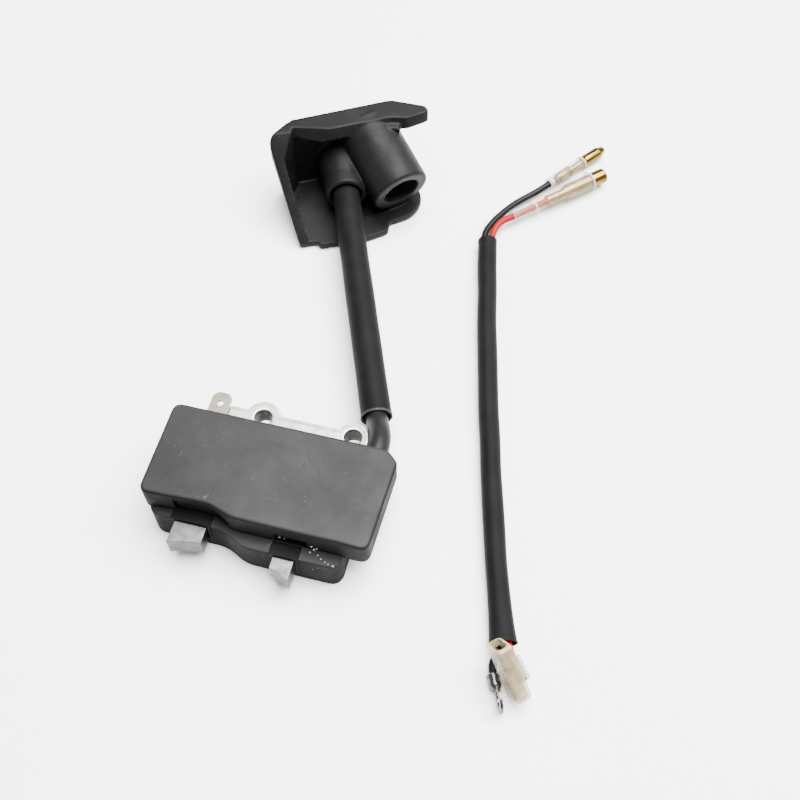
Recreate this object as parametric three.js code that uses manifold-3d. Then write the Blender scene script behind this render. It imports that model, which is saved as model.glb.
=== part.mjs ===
// Small-engine ignition coil with its plug boot and its detachable two-wire stop lead.
// Units are millimetres, +Z is up. X runs along the coil, +Y points away from the flywheel.
// Every size is given in the coil's own layout, whose X and Y zero lies by the two fixing holes
// and whose Z zero is the surface that the object lies on. The finished group is then shifted
// so that its origin is the centre of the footprint of the coil, its lead and its boot.

import * as THREE from 'three';
import { mergeVertices } from 'three/addons/utils/BufferGeometryUtils.js';
import Module from 'manifold-3d';

const wasm = await Module();
wasm.setup();

// ---------------------------------------------------------------- driving dimensions

const GAP = 0.3;                 // clearance between pieces that touch
const WINDING_GAP = 0.25;        // clearance between the layers of the windings
const ROUND_SIDES = 28;          // facets of a large round
const SMALL_SIDES = 12;          // facets of a small round
const WIRE_SIDES = 8;            // facets of a thin wire

// laminated core
const HOLE_MID_X = 0.45;
const HOLE_Y = -1;
const HOLE_SPACING = 29;
const HOLE_RADIUS = 2.8;
const EAR_RADII = [5.6, 5];     // the right ear is smaller, to clear the lead
const CORE_BOTTOM = 5;
const CORE_THICKNESS = 7;
const CORE_TOP = CORE_BOTTOM + CORE_THICKNESS;
const BAR_BACK = 0.7;
const BAR_WIDTH = 8;
const BAR_FRONT = BAR_BACK - BAR_WIDTH;
const LEG_LEFT = { inner: -18.5, outer: -28.4 };
const LEG_RIGHT = { inner: 3, outer: 9.4 };
const FLYWHEEL_RADIUS = 53;
const FLYWHEEL_X = -13.1;
const FLYWHEEL_Y = -98.7;

// case
const CASE_LEFT = -38.9;
const CASE_RIGHT = 31.6;
const CASE_BACK = BAR_FRONT - GAP;
const CASE_FRONT = -40.1;
const CASE_TOP = 22;
const LEDGE_Z = 11;              // underside of the part that overhangs on the right
const CASE_WALL = 1.8;
const LOWER_LEFT = -37;
const LOWER_RIGHT = 23;
const LOBE_FRONT = -44.4;        // front of the lobe in front of the windings
const LOW_FRONT = -40.6;         // front of the left third
const CORNER_RADIUS = 3;
const LOBE_RADIUS = 4;

// windings, all on the right leg
const BOBBIN_WALL = 0.6;
const PRIMARY_BUILD = 0.8;
const SECONDARY_BUILD = 1;
const BOBBIN_FRONT = CASE_FRONT + CASE_WALL + GAP;
const BOBBIN_BACK = -11.6;
const BOBBIN_FLANGE = 1;
const SECONDARY_SECTIONS = 4;

// electronics
const BOARD_STANDOFF = 3.9;      // height of the board over the core
const BOARD = {
  left: -35.6, right: -5, front: -34.5, back: -11.5, bottom: CORE_TOP + BOARD_STANDOFF, thickness: 1.6,
};

// high-tension lead and its sleeve
const LEAD_DIAMETER = 7;
const CONDUCTOR_DIAMETER = 1.5;
const LEAD_EXIT_X = 24;
const LEAD_EXIT_Z = CORE_TOP + 4;
const LEAD_REST_Z = LEAD_EXIT_Z - 5;
const LAYOUT_ZERO = { x: 19.7, y: 9.1 };
const LEAD_ANGLE = 21.6;         // degrees that the lead leans left of +Y
const LEAD_END = 106;            // distance of the lead's far end from the sleeve's start
const SLEEVE_OUTER = 9.7;
const SLEEVE_INNER = 8.6;
const SLEEVE_FROM = -1.2;        // of its open end, along the lead from the layout's zero
const SLEEVE_LENGTH = 96.7;
const LEAD_BEND = 19;            // radius of the lead's two gentle bends

// plug boot, in the lead's own layout: x right of the lead, y along it from the sleeve's start
const COVER_HEIGHT = 30;
const COVER_FLOOR = 2.6;
const FLANGE_THICKNESS = 4.5;
const TUBE_RADIUS = 10.6;
const PLUG_BORE_RADIUS = 6.6;
const PLUG_BORE_DEPTH = 19;
const TUBE_LENGTH = 28;
const TUBE_MOUTH = new THREE.Vector3(19.6, 89.4, 13);
const TUBE_OUTWARD = new THREE.Vector3(0.356, -0.897, -0.263).normalize();
const SPRING_BORE_RADIUS = 4.6;
const SPRING_RADIUS = 3.2;
const SPRING_WIRE = 1;
const SPRING_TURNS = 4;
const SPRING_FRONT = 12;         // depth of the spring's first turn in the bore
const SPRING_LENGTH = 11;
const HOOD_START = 92;
const HOOD_RADIUS = 7.4;
const HOOD_ROOT_RADIUS = 9.6;
const HOOD_ROOT = 113;
const HOOD_MOUTH_DEPTH = 9;

// stop lead
const SLEEVING_OUTER = 6.6;
const SLEEVING_INNER = 5.8;
const WIRE_DIAMETER = 2.4;
const WIRE_OFFSET = 1.35;        // of each wire's centre from the middle of the sleeving
const SLEEVING_Z = SLEEVING_OUTER / 2;
const MALE = { tip: 4.4, neck: 3.9, mouth: 5.2, cover: 17.3, total: 28 };
const FEMALE = { tip: 5.5, neck: 4.4, body: 7.4, cover: 34.5, total: 40.4 };
const TAB_WIDTH = 6.3;
const TAB_THICKNESS = 0.8;
const RING_OUTER = 8;
const RING_HOLE = 4.3;

// ---------------------------------------------------------------- small helpers

const v3 = (x, y, z) => new THREE.Vector3(x, y, z);
const v2 = (x, y) => new THREE.Vector2(x, y);

function solid(geometry) {
  const bare = geometry.clone();
  bare.deleteAttribute('normal');
  bare.deleteAttribute('uv');
  const merged = mergeVertices(bare, 1e-4);
  const corners = merged.index.array;
  const kept = [];
  for (let i = 0; i < corners.length; i += 3) {
    const [a, b, c] = [corners[i], corners[i + 1], corners[i + 2]];
    if (a !== b && b !== c && a !== c) kept.push(a, b, c);
  }
  return new wasm.Manifold(new wasm.Mesh({
    numProp: 3,
    vertProperties: new Float32Array(merged.attributes.position.array),
    triVerts: new Uint32Array(kept),
  }));
}

function geometryOf(body) {
  const mesh = body.getMesh();
  const geometry = new THREE.BufferGeometry();
  geometry.setAttribute('position', new THREE.BufferAttribute(new Float32Array(mesh.vertProperties), 3));
  geometry.setIndex(new THREE.BufferAttribute(new Uint32Array(mesh.triVerts), 1));
  return geometry;
}

function block(x0, x1, y0, y1, z0, z1) {
  const geometry = new THREE.BoxGeometry(x1 - x0, y1 - y0, z1 - z0);
  geometry.translate((x0 + x1) / 2, (y0 + y1) / 2, (z0 + z1) / 2);
  return solid(geometry);
}

function plate(shape, z0, z1) {
  const depth = z1 - z0;
  const geometry = new THREE.ExtrudeGeometry(shape, { depth, bevelEnabled: false, curveSegments: 5 });
  geometry.translate(0, 0, z0);
  return solid(geometry);
}

// A closed outline through corners, each given as [x, y, radius].
function outline(corners) {
  const shape = new THREE.Shape();
  corners.forEach(([x, y, radius = 0], i) => {
    const before = corners[(i + corners.length - 1) % corners.length];
    const after = corners[(i + 1) % corners.length];
    const here = v2(x, y);
    const start = v2(before[0], before[1]).sub(here).setLength(radius).add(here);
    const end = v2(after[0], after[1]).sub(here).setLength(radius).add(here);
    if (i === 0) shape.moveTo(start.x, start.y);
    else shape.lineTo(start.x, start.y);
    if (radius > 0) shape.quadraticCurveTo(x, y, end.x, end.y);
  });
  shape.closePath();
  return shape;
}

// The same corners moved inwards by a distance, for outlines that run anticlockwise.
function inset(corners, distance) {
  const count = corners.length;
  const lines = corners.map(([x, y], i) => {
    const [nx, ny] = corners[(i + 1) % count];
    const along = v2(nx - x, ny - y).normalize();
    return { point: v2(x - along.y * distance, y + along.x * distance), along };
  });
  return corners.map((corner, i) => {
    const a = lines[(i + count - 1) % count];
    const b = lines[i];
    const cross = a.along.x * b.along.y - a.along.y * b.along.x;
    const reach = ((b.point.x - a.point.x) * b.along.y - (b.point.y - a.point.y) * b.along.x) / cross;
    const moved = a.point.clone().addScaledVector(a.along, reach);
    return [moved.x, moved.y, Math.max((corner[2] ?? 0) - distance, 0)];
  });
}

function ring(sides, radius, turn = 0) {
  return Array.from({ length: sides }, (_, i) => {
    const angle = turn + (i / sides) * 2 * Math.PI;
    return v2(radius * Math.cos(angle), radius * Math.sin(angle));
  });
}

function swept(curve, outer, inner, sides, steps) {
  const section = new THREE.Shape(ring(sides, outer / 2));
  if (inner > 0) section.holes.push(new THREE.Path(ring(sides, inner / 2)));
  return new THREE.ExtrudeGeometry(section, { steps, extrudePath: curve, bevelEnabled: false });
}

// A turned piece on an axis: profile pairs are [radius, distance along the axis].
function turned(profile, sides, origin, axis) {
  const geometry = new THREE.LatheGeometry(profile.map(([r, y]) => v2(r, y)), sides);
  geometry.applyQuaternion(new THREE.Quaternion().setFromUnitVectors(v3(0, 1, 0), axis));
  geometry.translate(origin.x, origin.y, origin.z);
  return solid(geometry);
}

function rod(radius, from, to, sides = SMALL_SIDES) {
  const axis = to.clone().sub(from);
  const length = axis.length();
  return turned([[0, 0], [radius, 0], [radius, length], [0, length]], sides, from, axis.normalize());
}

function joined(bodies) {
  return bodies.reduce((sum, body) => sum.add(body));
}

function cutBy(body, tools) {
  return tools.reduce((left, tool) => left.subtract(tool), body);
}

const group = new THREE.Group();
const freeLead = new THREE.Group();

function named(name, geometry, { color, roughness, metalness = 0 }, parent = group) {
  const mesh = new THREE.Mesh(geometry, new THREE.MeshStandardMaterial({ color, roughness, metalness }));
  mesh.name = name;
  parent.add(mesh);
  return mesh;
}

const FINISH = {
  case: { color: 0x2b2c2d, roughness: 0.5 },
  resin: { color: 0x1c1c1d, roughness: 0.35 },
  steel: { color: 0xb9bbbd, roughness: 0.35, metalness: 1 },
  tinned: { color: 0xc9c8c2, roughness: 0.3, metalness: 1 },
  brass: { color: 0xc9a24b, roughness: 0.3, metalness: 1 },
  copper: { color: 0xb5683a, roughness: 0.35, metalness: 1 },
  bobbin: { color: 0xd8d2c0, roughness: 0.6 },
  board: { color: 0x2f5a3a, roughness: 0.5 },
  component: { color: 0x202124, roughness: 0.4 },
  film: { color: 0x9a2f24, roughness: 0.4 },
  rubber: { color: 0x232324, roughness: 0.6 },
  sleeve: { color: 0x2a2a2b, roughness: 0.8 },
  woven: { color: 0x1e1f20, roughness: 0.85 },
  red: { color: 0xc8262b, roughness: 0.45 },
  black: { color: 0x18191a, roughness: 0.45 },
  clear: { color: 0xe9e2c8, roughness: 0.3 },
};

// ---------------------------------------------------------------- laminated core

const holeX = [HOLE_MID_X - HOLE_SPACING / 2, HOLE_MID_X + HOLE_SPACING / 2];
const barLeft = LEG_LEFT.outer;
const barRight = holeX[1] + EAR_RADII[1];

function poleY(x) {
  return FLYWHEEL_Y + Math.sqrt(FLYWHEEL_RADIUS ** 2 - (x - FLYWHEEL_X) ** 2);
}

function poleFace(shape, from, to) {
  const steps = 4;
  for (let i = 0; i <= steps; i += 1) {
    const x = from + ((to - from) * i) / steps;
    shape.lineTo(x, poleY(x));
  }
}

function earArc(shape, index) {
  const rise = Math.asin((BAR_BACK - HOLE_Y) / EAR_RADII[index]);
  shape.absarc(holeX[index], HOLE_Y, EAR_RADII[index], rise, Math.PI - rise, false);
}

function makeCore() {
  const shoulder = 4;
  const shape = new THREE.Shape();
  shape.moveTo(barLeft, BAR_BACK - shoulder / 2);
  poleFace(shape, LEG_LEFT.outer, LEG_LEFT.inner);
  shape.lineTo(LEG_LEFT.inner, BAR_FRONT);
  shape.lineTo(LEG_RIGHT.inner, BAR_FRONT);
  poleFace(shape, LEG_RIGHT.inner, LEG_RIGHT.outer);
  shape.lineTo(LEG_RIGHT.outer, BAR_FRONT);
  shape.lineTo(barRight, BAR_FRONT);
  shape.lineTo(barRight, HOLE_Y);
  earArc(shape, 1);
  earArc(shape, 0);
  shape.lineTo(barLeft + shoulder, BAR_BACK);
  shape.closePath();
  const geometry = new THREE.ExtrudeGeometry(shape, {
    depth: CORE_THICKNESS, bevelEnabled: false, curveSegments: ROUND_SIDES / 2,
  });
  geometry.translate(0, 0, CORE_BOTTOM);
  const holes = holeX.map((x) => (
    rod(HOLE_RADIUS, v3(x, HOLE_Y, CORE_BOTTOM - 1), v3(x, HOLE_Y, CORE_TOP + 1), ROUND_SIDES)
  ));
  return cutBy(solid(geometry), holes);
}

named('laminated_core', geometryOf(makeCore()), FINISH.steel);

// ---------------------------------------------------------------- insulating collars on the legs

const COLLAR_WALL = 0.9;
const COLLAR_PROUD = 0.3;        // how far a collar stands out of the case's front
const COLLAR_DEPTH = CASE_WALL + 2;

function legHole(leg, margin, y0, y1) {
  const x0 = Math.min(leg.inner, leg.outer) - margin;
  const x1 = Math.max(leg.inner, leg.outer) + margin;
  return block(x0, x1, y0, y1, CORE_BOTTOM - margin, CORE_TOP + margin);
}

function collarOn(leg, front) {
  const outer = legHole(leg, GAP + COLLAR_WALL, front - COLLAR_PROUD, front + COLLAR_DEPTH);
  return outer.subtract(legHole(leg, GAP, front - 3, front + 8));
}

named('left_leg_collar', geometryOf(collarOn(LEG_LEFT, LOW_FRONT)), FINISH.case);
named('right_leg_collar', geometryOf(collarOn(LEG_RIGHT, LOBE_FRONT)), FINISH.case);

// ---------------------------------------------------------------- case and its resin

const upperCorners = [
  [CASE_LEFT, CASE_FRONT + 1.7, CORNER_RADIUS],
  [-17.5, CASE_FRONT + 2.6, 2],
  [-10, CASE_FRONT, 2],
  [CASE_RIGHT - 1.2, CASE_FRONT, CORNER_RADIUS],
  [CASE_RIGHT, CASE_BACK - 3, 1],
  [CASE_RIGHT - 3.5, CASE_BACK, 1],
  [CASE_LEFT, CASE_BACK, CORNER_RADIUS],
];
const lowerCorners = [
  [LOWER_LEFT, LOW_FRONT, LOBE_RADIUS],
  [-13.5, LOW_FRONT - 0.2, 3],
  [-6.5, LOBE_FRONT, 3],
  [LOWER_RIGHT, LOBE_FRONT, LOBE_RADIUS],
  [LOWER_RIGHT, CASE_BACK, 1],
  [LOWER_LEFT, CASE_BACK, 2],
];
const upperRoof = CASE_TOP - CASE_WALL;
const LEAD_INNER_END = CASE_BACK - 9;
const leadSocket = rod(LEAD_DIAMETER / 2 + GAP, v3(LEAD_EXIT_X, LEAD_INNER_END - 1, LEAD_EXIT_Z),
  v3(LEAD_EXIT_X, CASE_BACK + 6, LEAD_EXIT_Z), 20);
const TAB_X = -28.1;
const TAB_Z = CORE_TOP + 1;
const tabSlot = block(TAB_X - TAB_WIDTH / 2 - GAP, TAB_X + TAB_WIDTH / 2 + GAP, CASE_BACK - 4, CASE_BACK + 2,
  TAB_Z - GAP, TAB_Z + TAB_THICKNESS + GAP);

function makeCase() {
  const shell = joined([
    plate(outline(upperCorners), LEDGE_Z, CASE_TOP),
    plate(outline(lowerCorners), 0, LEDGE_Z + CASE_WALL),
    rod(LEAD_DIAMETER / 2 + 2.2, v3(LEAD_EXIT_X, CASE_BACK - 7, LEAD_EXIT_Z),
      v3(LEAD_EXIT_X, CASE_BACK, LEAD_EXIT_Z), 20),
  ]);
  return cutBy(shell, [
    plate(outline(inset(upperCorners, CASE_WALL)), LEDGE_Z + CASE_WALL, upperRoof),
    plate(outline(inset(lowerCorners, CASE_WALL)), -1, LEDGE_Z),
    plate(outline(inset(lowerCorners, CASE_WALL)), LEDGE_Z - 1, LEDGE_Z + CASE_WALL + 1)
      .intersect(plate(outline(inset(upperCorners, CASE_WALL)), 0, CASE_TOP)),
    legHole(LEG_LEFT, GAP + COLLAR_WALL + GAP, LOW_FRONT - 2, LOW_FRONT + COLLAR_DEPTH + GAP),
    legHole(LEG_RIGHT, GAP + COLLAR_WALL + GAP, LOBE_FRONT - 2, LOBE_FRONT + COLLAR_DEPTH + GAP),
    legHole(LEG_LEFT, GAP, LOW_FRONT, CASE_BACK + 2),
    legHole(LEG_RIGHT, GAP, LOBE_FRONT, CASE_BACK + 2),
    leadSocket,
    tabSlot,
  ]);
}

named('coil_case', geometryOf(makeCase()), FINISH.case);

const windingReach = GAP + BOBBIN_WALL + WINDING_GAP + PRIMARY_BUILD + WINDING_GAP
  + BOBBIN_WALL + WINDING_GAP + SECONDARY_BUILD;
const RESIN_LEVEL = 10.5;
const RESIN_FLOOR = 0.2;

function makeResin() {
  const fill = plate(outline(inset(lowerCorners, CASE_WALL + GAP)), RESIN_FLOOR, RESIN_LEVEL);
  return cutBy(fill, [
    block(LEG_RIGHT.inner - windingReach - GAP, LEG_RIGHT.outer + windingReach + GAP,
      BOBBIN_FRONT - GAP, BOBBIN_BACK + GAP, CORE_BOTTOM - windingReach - GAP, CORE_TOP + windingReach),
    legHole(LEG_RIGHT, GAP + COLLAR_WALL + GAP, LOBE_FRONT - 2, CASE_BACK + 2),
    legHole(LEG_LEFT, GAP + COLLAR_WALL + GAP, LOW_FRONT - 2, CASE_BACK + 2),
  ]);
}

named('potting_resin', geometryOf(makeResin()), FINISH.resin);

// ---------------------------------------------------------------- bobbins and windings

function frameAround(innerMargin, wall, y0, y1) {
  const outer = legHole(LEG_RIGHT, innerMargin + wall, y0, y1);
  return outer.subtract(legHole(LEG_RIGHT, innerMargin, y0 - 1, y1 + 1));
}

const primaryCore = GAP;
const primaryWinding = primaryCore + BOBBIN_WALL + WINDING_GAP;
const secondaryCore = primaryWinding + PRIMARY_BUILD + WINDING_GAP;
const secondaryWinding = secondaryCore + BOBBIN_WALL + WINDING_GAP;

// A bobbin on the right leg: its wall and its flanges, each given by where it starts.
function bobbin(margin, build, flangeStarts) {
  const wall = legHole(LEG_RIGHT, margin + BOBBIN_WALL, BOBBIN_FRONT + BOBBIN_FLANGE / 2,
    BOBBIN_BACK - BOBBIN_FLANGE / 2);
  const flanges = flangeStarts.map((y) => (
    legHole(LEG_RIGHT, margin + BOBBIN_WALL + WINDING_GAP + build, y, y + BOBBIN_FLANGE)
  ));
  return joined([wall, ...flanges]).subtract(legHole(LEG_RIGHT, margin, BOBBIN_FRONT - 1, BOBBIN_BACK + 1));
}

const sectionPitch = (BOBBIN_BACK - BOBBIN_FRONT - BOBBIN_FLANGE) / SECONDARY_SECTIONS;
const sectionStarts = Array.from({ length: SECONDARY_SECTIONS + 1 }, (_, i) => BOBBIN_FRONT + i * sectionPitch);

named('primary_bobbin', geometryOf(bobbin(primaryCore, PRIMARY_BUILD,
  [BOBBIN_FRONT, BOBBIN_BACK - BOBBIN_FLANGE])), FINISH.bobbin);
named('primary_winding', geometryOf(frameAround(primaryWinding, PRIMARY_BUILD,
  BOBBIN_FRONT + BOBBIN_FLANGE + GAP, BOBBIN_BACK - BOBBIN_FLANGE - GAP)), FINISH.copper);
named('secondary_bobbin', geometryOf(bobbin(secondaryCore, SECONDARY_BUILD, sectionStarts)), FINISH.bobbin);
sectionStarts.slice(0, SECONDARY_SECTIONS).forEach((y, i) => {
  named(`secondary_winding_${i + 1}`, geometryOf(frameAround(secondaryWinding, SECONDARY_BUILD - GAP / 2,
    y + BOBBIN_FLANGE + GAP, y + sectionPitch - GAP)), FINISH.copper);
});

// ---------------------------------------------------------------- circuit board and what it carries

const boardTop = BOARD.bottom + BOARD.thickness;
named('circuit_board', geometryOf(block(BOARD.left, BOARD.right, BOARD.front, BOARD.back,
  BOARD.bottom, boardTop)), FINISH.board);

// A component stands on the board or hangs under it: [x, y, width, depth, height], height negative when under.
function component(name, [x, y, width, depth, height], finish) {
  const room = upperRoof - 2 * GAP - boardTop;
  const tall = height > 0 ? Math.min(height, room) : -height;
  const z0 = height > 0 ? boardTop + GAP : BOARD.bottom - GAP - tall;
  named(name, geometryOf(block(x, x + width, y, y + depth, z0, z0 + tall)), finish);
}

component('switching_transistor', [-33, -30, 9.5, 8, -2.6], FINISH.component);
component('trigger_capacitor', [-18, -31, 7.5, 6, -2.6], FINISH.film);
component('gate_resistor', [-33, -18, 6.4, 2.4, 1.6], FINISH.component);
component('clamp_diode', [-22, -18, 5.2, 2.6, 1.6], FINISH.component);

// ---------------------------------------------------------------- terminals of the coil

const TAB_LENGTH = 14.5;
const TAB_CHAMFER = 1.5;
const TAB_HOLE_RADIUS = 0.95;
const TAB_HOLE_FROM_TIP = 3.9;
const TAB_STEP = 0.1;            // the blade is this much thicker outside the case
const tabRoot = CASE_BACK - CASE_WALL - 1.5;

function makeTab() {
  const half = TAB_WIDTH / 2;
  const shoulder = TAB_LENGTH - TAB_CHAMFER;
  const blade = plate(outline([
    [-half, 0], [half, 0], [half, shoulder, 0.4], [half - TAB_CHAMFER, TAB_LENGTH, 0.3],
    [-half + TAB_CHAMFER, TAB_LENGTH, 0.3], [-half, shoulder, 0.4],
  ]), 0, TAB_THICKNESS);
  const holeY = TAB_LENGTH - TAB_HOLE_FROM_TIP;
  return cutBy(blade, [
    rod(TAB_HOLE_RADIUS, v3(0, holeY, -1), v3(0, holeY, 2)),
    block(-half - 1, half + 1, -1, CASE_BACK - tabRoot + 2 * GAP, TAB_THICKNESS - TAB_STEP, TAB_THICKNESS + 1),
  ]);
}

const tab = named('stop_tab', geometryOf(makeTab()), FINISH.tinned);
tab.position.set(TAB_X, tabRoot, TAB_Z);

// The earth strap stands on the left leg and reaches up to the board.
const STRAP = { left: LEG_LEFT.inner - 4, width: 2.4, front: -12.8, back: -10.2, thickness: 0.4 };
const strapFoot = CORE_TOP + GAP;
const strapRight = STRAP.left + STRAP.width;
named('earth_strap', geometryOf(joined([
  block(STRAP.left, strapRight, STRAP.front, STRAP.back, strapFoot, strapFoot + STRAP.thickness),
  block(STRAP.left, strapRight, STRAP.front, STRAP.front + STRAP.thickness, strapFoot, BOARD.bottom - GAP),
])), FINISH.tinned);

const PIN_RADIUS = 0.6;
const PIN_LENGTH = 6;
const pinEnd = LEAD_INNER_END - PIN_LENGTH;
named('high_tension_pin', geometryOf(joined([
  rod(PIN_RADIUS, v3(LEAD_EXIT_X, LEAD_INNER_END - GAP, LEAD_EXIT_Z), v3(LEAD_EXIT_X, pinEnd, LEAD_EXIT_Z)),
  block(LEG_RIGHT.outer + windingReach + GAP, LEAD_EXIT_X, pinEnd - PIN_RADIUS, pinEnd + 1,
    LEAD_EXIT_Z - PIN_RADIUS / 2, LEAD_EXIT_Z + PIN_RADIUS / 2),
])), FINISH.tinned);

// ---------------------------------------------------------------- high-tension lead

const lean = THREE.MathUtils.degToRad(LEAD_ANGLE);
const leadAlong = v3(-Math.sin(lean), Math.cos(lean), 0);

function onLead(distance, z = LEAD_REST_Z) {
  return v3(LAYOUT_ZERO.x, LAYOUT_ZERO.y, 0).addScaledVector(leadAlong, distance).setZ(z);
}

// The lead leaves the case straight, turns by its lean and drops to its resting height in one S.
const turnReach = LEAD_BEND * Math.tan(lean / 2);
const cornerY = LAYOUT_ZERO.y - (LEAD_EXIT_X - LAYOUT_ZERO.x) / Math.tan(lean);
const dropLength = 2 * Math.sqrt(LEAD_BEND * (LEAD_EXIT_Z - LEAD_REST_Z));
const DROP_START = -6.9;

function leadAt(y) {
  const turning = Math.max(0, Math.min(y - (cornerY - turnReach), 2 * turnReach));
  const straight = Math.max(0, y - (cornerY + turnReach)) * Math.tan(lean);
  const fallen = Math.max(0, Math.min(y - DROP_START, dropLength));
  const half = dropLength / 2;
  const drop = fallen < half ? fallen ** 2 : dropLength ** 2 / 2 - (dropLength - fallen) ** 2;
  const x = LEAD_EXIT_X - (Math.tan(lean) * turning ** 2) / (4 * turnReach) - straight;
  return v3(x, y, LEAD_EXIT_Z - drop / (2 * LEAD_BEND));
}

const leadPoints = [
  v3(LEAD_EXIT_X, LEAD_INNER_END, LEAD_EXIT_Z),
  v3(LEAD_EXIT_X, CASE_BACK - 4, LEAD_EXIT_Z),
  ...[-7.6, -5, -2.5, 0, 2.5, 5, 7.5, 10, 12.5].map((y) => leadAt(y)),
  ...[8, 14, 25, 40, 60, 80, 95, LEAD_END].map((distance) => onLead(distance)),
];
const leadCurve = new THREE.CatmullRomCurve3(leadPoints, false, 'centripetal');
named('high_tension_lead', swept(leadCurve, LEAD_DIAMETER, CONDUCTOR_DIAMETER + 2 * GAP, SMALL_SIDES, 44),
  FINISH.black);
named('lead_conductor', swept(leadCurve, CONDUCTOR_DIAMETER, 0, WIRE_SIDES, 44), FINISH.copper);

const sleeveLine = new THREE.LineCurve3(onLead(SLEEVE_FROM), onLead(SLEEVE_FROM + SLEEVE_LENGTH));
named('lead_sleeve', swept(sleeveLine, SLEEVE_OUTER, SLEEVE_INNER, 20, 1), FINISH.sleeve);

// ---------------------------------------------------------------- plug boot, built in the lead's layout

const boot = new THREE.Group();
boot.position.set(LAYOUT_ZERO.x, LAYOUT_ZERO.y, 0);
boot.rotation.z = lean;
group.add(boot);

const leadLine = (y) => v3(0, y, LEAD_REST_Z);
const tubePoint = (depth) => TUBE_MOUTH.clone().addScaledVector(TUBE_OUTWARD, -depth);

// Outlines of the cover's walls, in the lead's own layout.
const FLOOR_OUTLINE = [
  [-18.6, 79, 1], [-12.2, 79.4, 0.5], [-11.1, 77.5, 0.5], [5.3, 78.6, 0], [13.7, 81.2, 1], [14.8, 85.2, 1],
  [23.7, 87.6, 4], [28.4, 94.5, 4], [24.4, 115.5, 1], [-18, 111.5, 2], [-25.3, 105, 2],
];
const BACK_OUTLINE = [
  [-18, 111.5, 1], [-16.6, 108.6, 1], [19.8, 114.2, 1], [22.4, 113.2, 1], [22.8, 116.6, 1], [19.4, 117.9, 1],
];
const LEFT_OUTLINE = [
  [-18.6, 79, 1], [-15.3, 79, 1], [-20.4, 99.9, 1], [-16.4, 107.6, 1], [-17.6, 112, 1], [-25.3, 105, 2],
];
const FLANGE_OUTLINE = [
  [-17.3, 112.5, 1], [-16.4, 108, 1], [-6, 104.4, 1], [18.5, 108, 1], [23.8, 107.1, 1], [29.6, 109, 1],
  [32.2, 110.1, 1], [31.5, 113.5, 1], [19.4, 118.1, 2],
];
const BEHIND_OUTLINE = [
  [-17.3, 112.5], [19.4, 118.1], [31.5, 113.5], [60, 102.7], [60, 140], [-60, 140], [-60, 106],
];
const GUSSET_OUTLINE = [[17.4, 106.4], [21, 104.9], [22, 110.4], [18.4, 112.4]];
// Side view of what is cut off the left wall, as distance along the lead and height.
const RIM_OUTLINE = [
  [70, COVER_FLOOR], [79, COVER_FLOOR], [107.5, 25], [112.8, COVER_HEIGHT], [112.8, COVER_HEIGHT + 10],
  [70, COVER_HEIGHT + 10],
];
// The left wall leans: what lies outside this plane is cut away from the cover.
const LEAN_PLANE = { normal: [0.979, 0.1287, 0.1575], offset: -7.64 };
const RIB = { radius: 1.1, front: v3(10.6, 95.5, 19.5), back: v3(8, 108, 23.5) };

function makeCover() {
  const rimGeometry = new THREE.ExtrudeGeometry(outline(RIM_OUTLINE), { depth: 20, bevelEnabled: false });
  rimGeometry.rotateX(Math.PI / 2);
  rimGeometry.rotateZ(Math.PI / 2);
  rimGeometry.translate(-30, 0, 0);
  return joined([
    plate(outline(FLOOR_OUTLINE), 0, COVER_FLOOR),
    plate(outline(BACK_OUTLINE), 0, COVER_HEIGHT - 1),
    plate(outline(LEFT_OUTLINE), 0, COVER_HEIGHT).subtract(solid(rimGeometry)),
    plate(outline(FLANGE_OUTLINE), COVER_HEIGHT - FLANGE_THICKNESS, COVER_HEIGHT),
  ]).trimByPlane(LEAN_PLANE.normal, LEAN_PLANE.offset);
}

function makeBoot() {
  const rim = 0.9;
  const hoodLength = HOOD_ROOT - HOOD_START;
  const far = 60;
  const tube = turned([[0, 0], [TUBE_RADIUS - rim, 0], [TUBE_RADIUS, rim], [TUBE_RADIUS, TUBE_LENGTH],
    [0, TUBE_LENGTH]], ROUND_SIDES, TUBE_MOUTH, TUBE_OUTWARD.clone().negate());
  const hood = turned([[0, 0], [HOOD_RADIUS, 0], [HOOD_RADIUS, 6], [HOOD_ROOT_RADIUS, hoodLength],
    [0, hoodLength]], 24, leadLine(HOOD_START), v3(0, 1, 0));
  const gusset = plate(outline(GUSSET_OUTLINE), 8, COVER_HEIGHT - 2);
  const rib = rod(RIB.radius, RIB.front, RIB.back, WIRE_SIDES);
  const sleeveBore = SLEEVE_OUTER / 2 + GAP + 0.2;
  const tailStart = tubePoint(PLUG_BORE_DEPTH + 5);
  const tailEnd = leadLine(LEAD_END + 4 * GAP);
  return cutBy(joined([makeCover(), tube, hood, gusset, rib]), [
    block(-far, far, far, 140, -20, 0),
    block(-far, far, far, 140, COVER_HEIGHT, COVER_HEIGHT + 20),
    plate(outline(BEHIND_OUTLINE), -1, COVER_HEIGHT + 1),
    rod(PLUG_BORE_RADIUS, tubePoint(-2), tubePoint(PLUG_BORE_DEPTH), ROUND_SIDES),
    rod(SPRING_BORE_RADIUS, tubePoint(PLUG_BORE_DEPTH - 1), tubePoint(PLUG_BORE_DEPTH + 7), ROUND_SIDES),
    rod(sleeveBore, leadLine(HOOD_START - 2), leadLine(HOOD_START + HOOD_MOUTH_DEPTH), 24),
    rod(LEAD_DIAMETER / 2 + GAP, leadLine(HOOD_START), leadLine(LEAD_END + 0.8), 20),
    rod(SPRING_WIRE / 2 + GAP, tailStart, tailEnd, SMALL_SIDES),
    rod(SPRING_WIRE / 2 + 2 * GAP, leadLine(LEAD_END), leadLine(LEAD_END + 2), SMALL_SIDES),
  ]);
}

named('plug_boot', geometryOf(makeBoot()), FINISH.rubber, boot);

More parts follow.
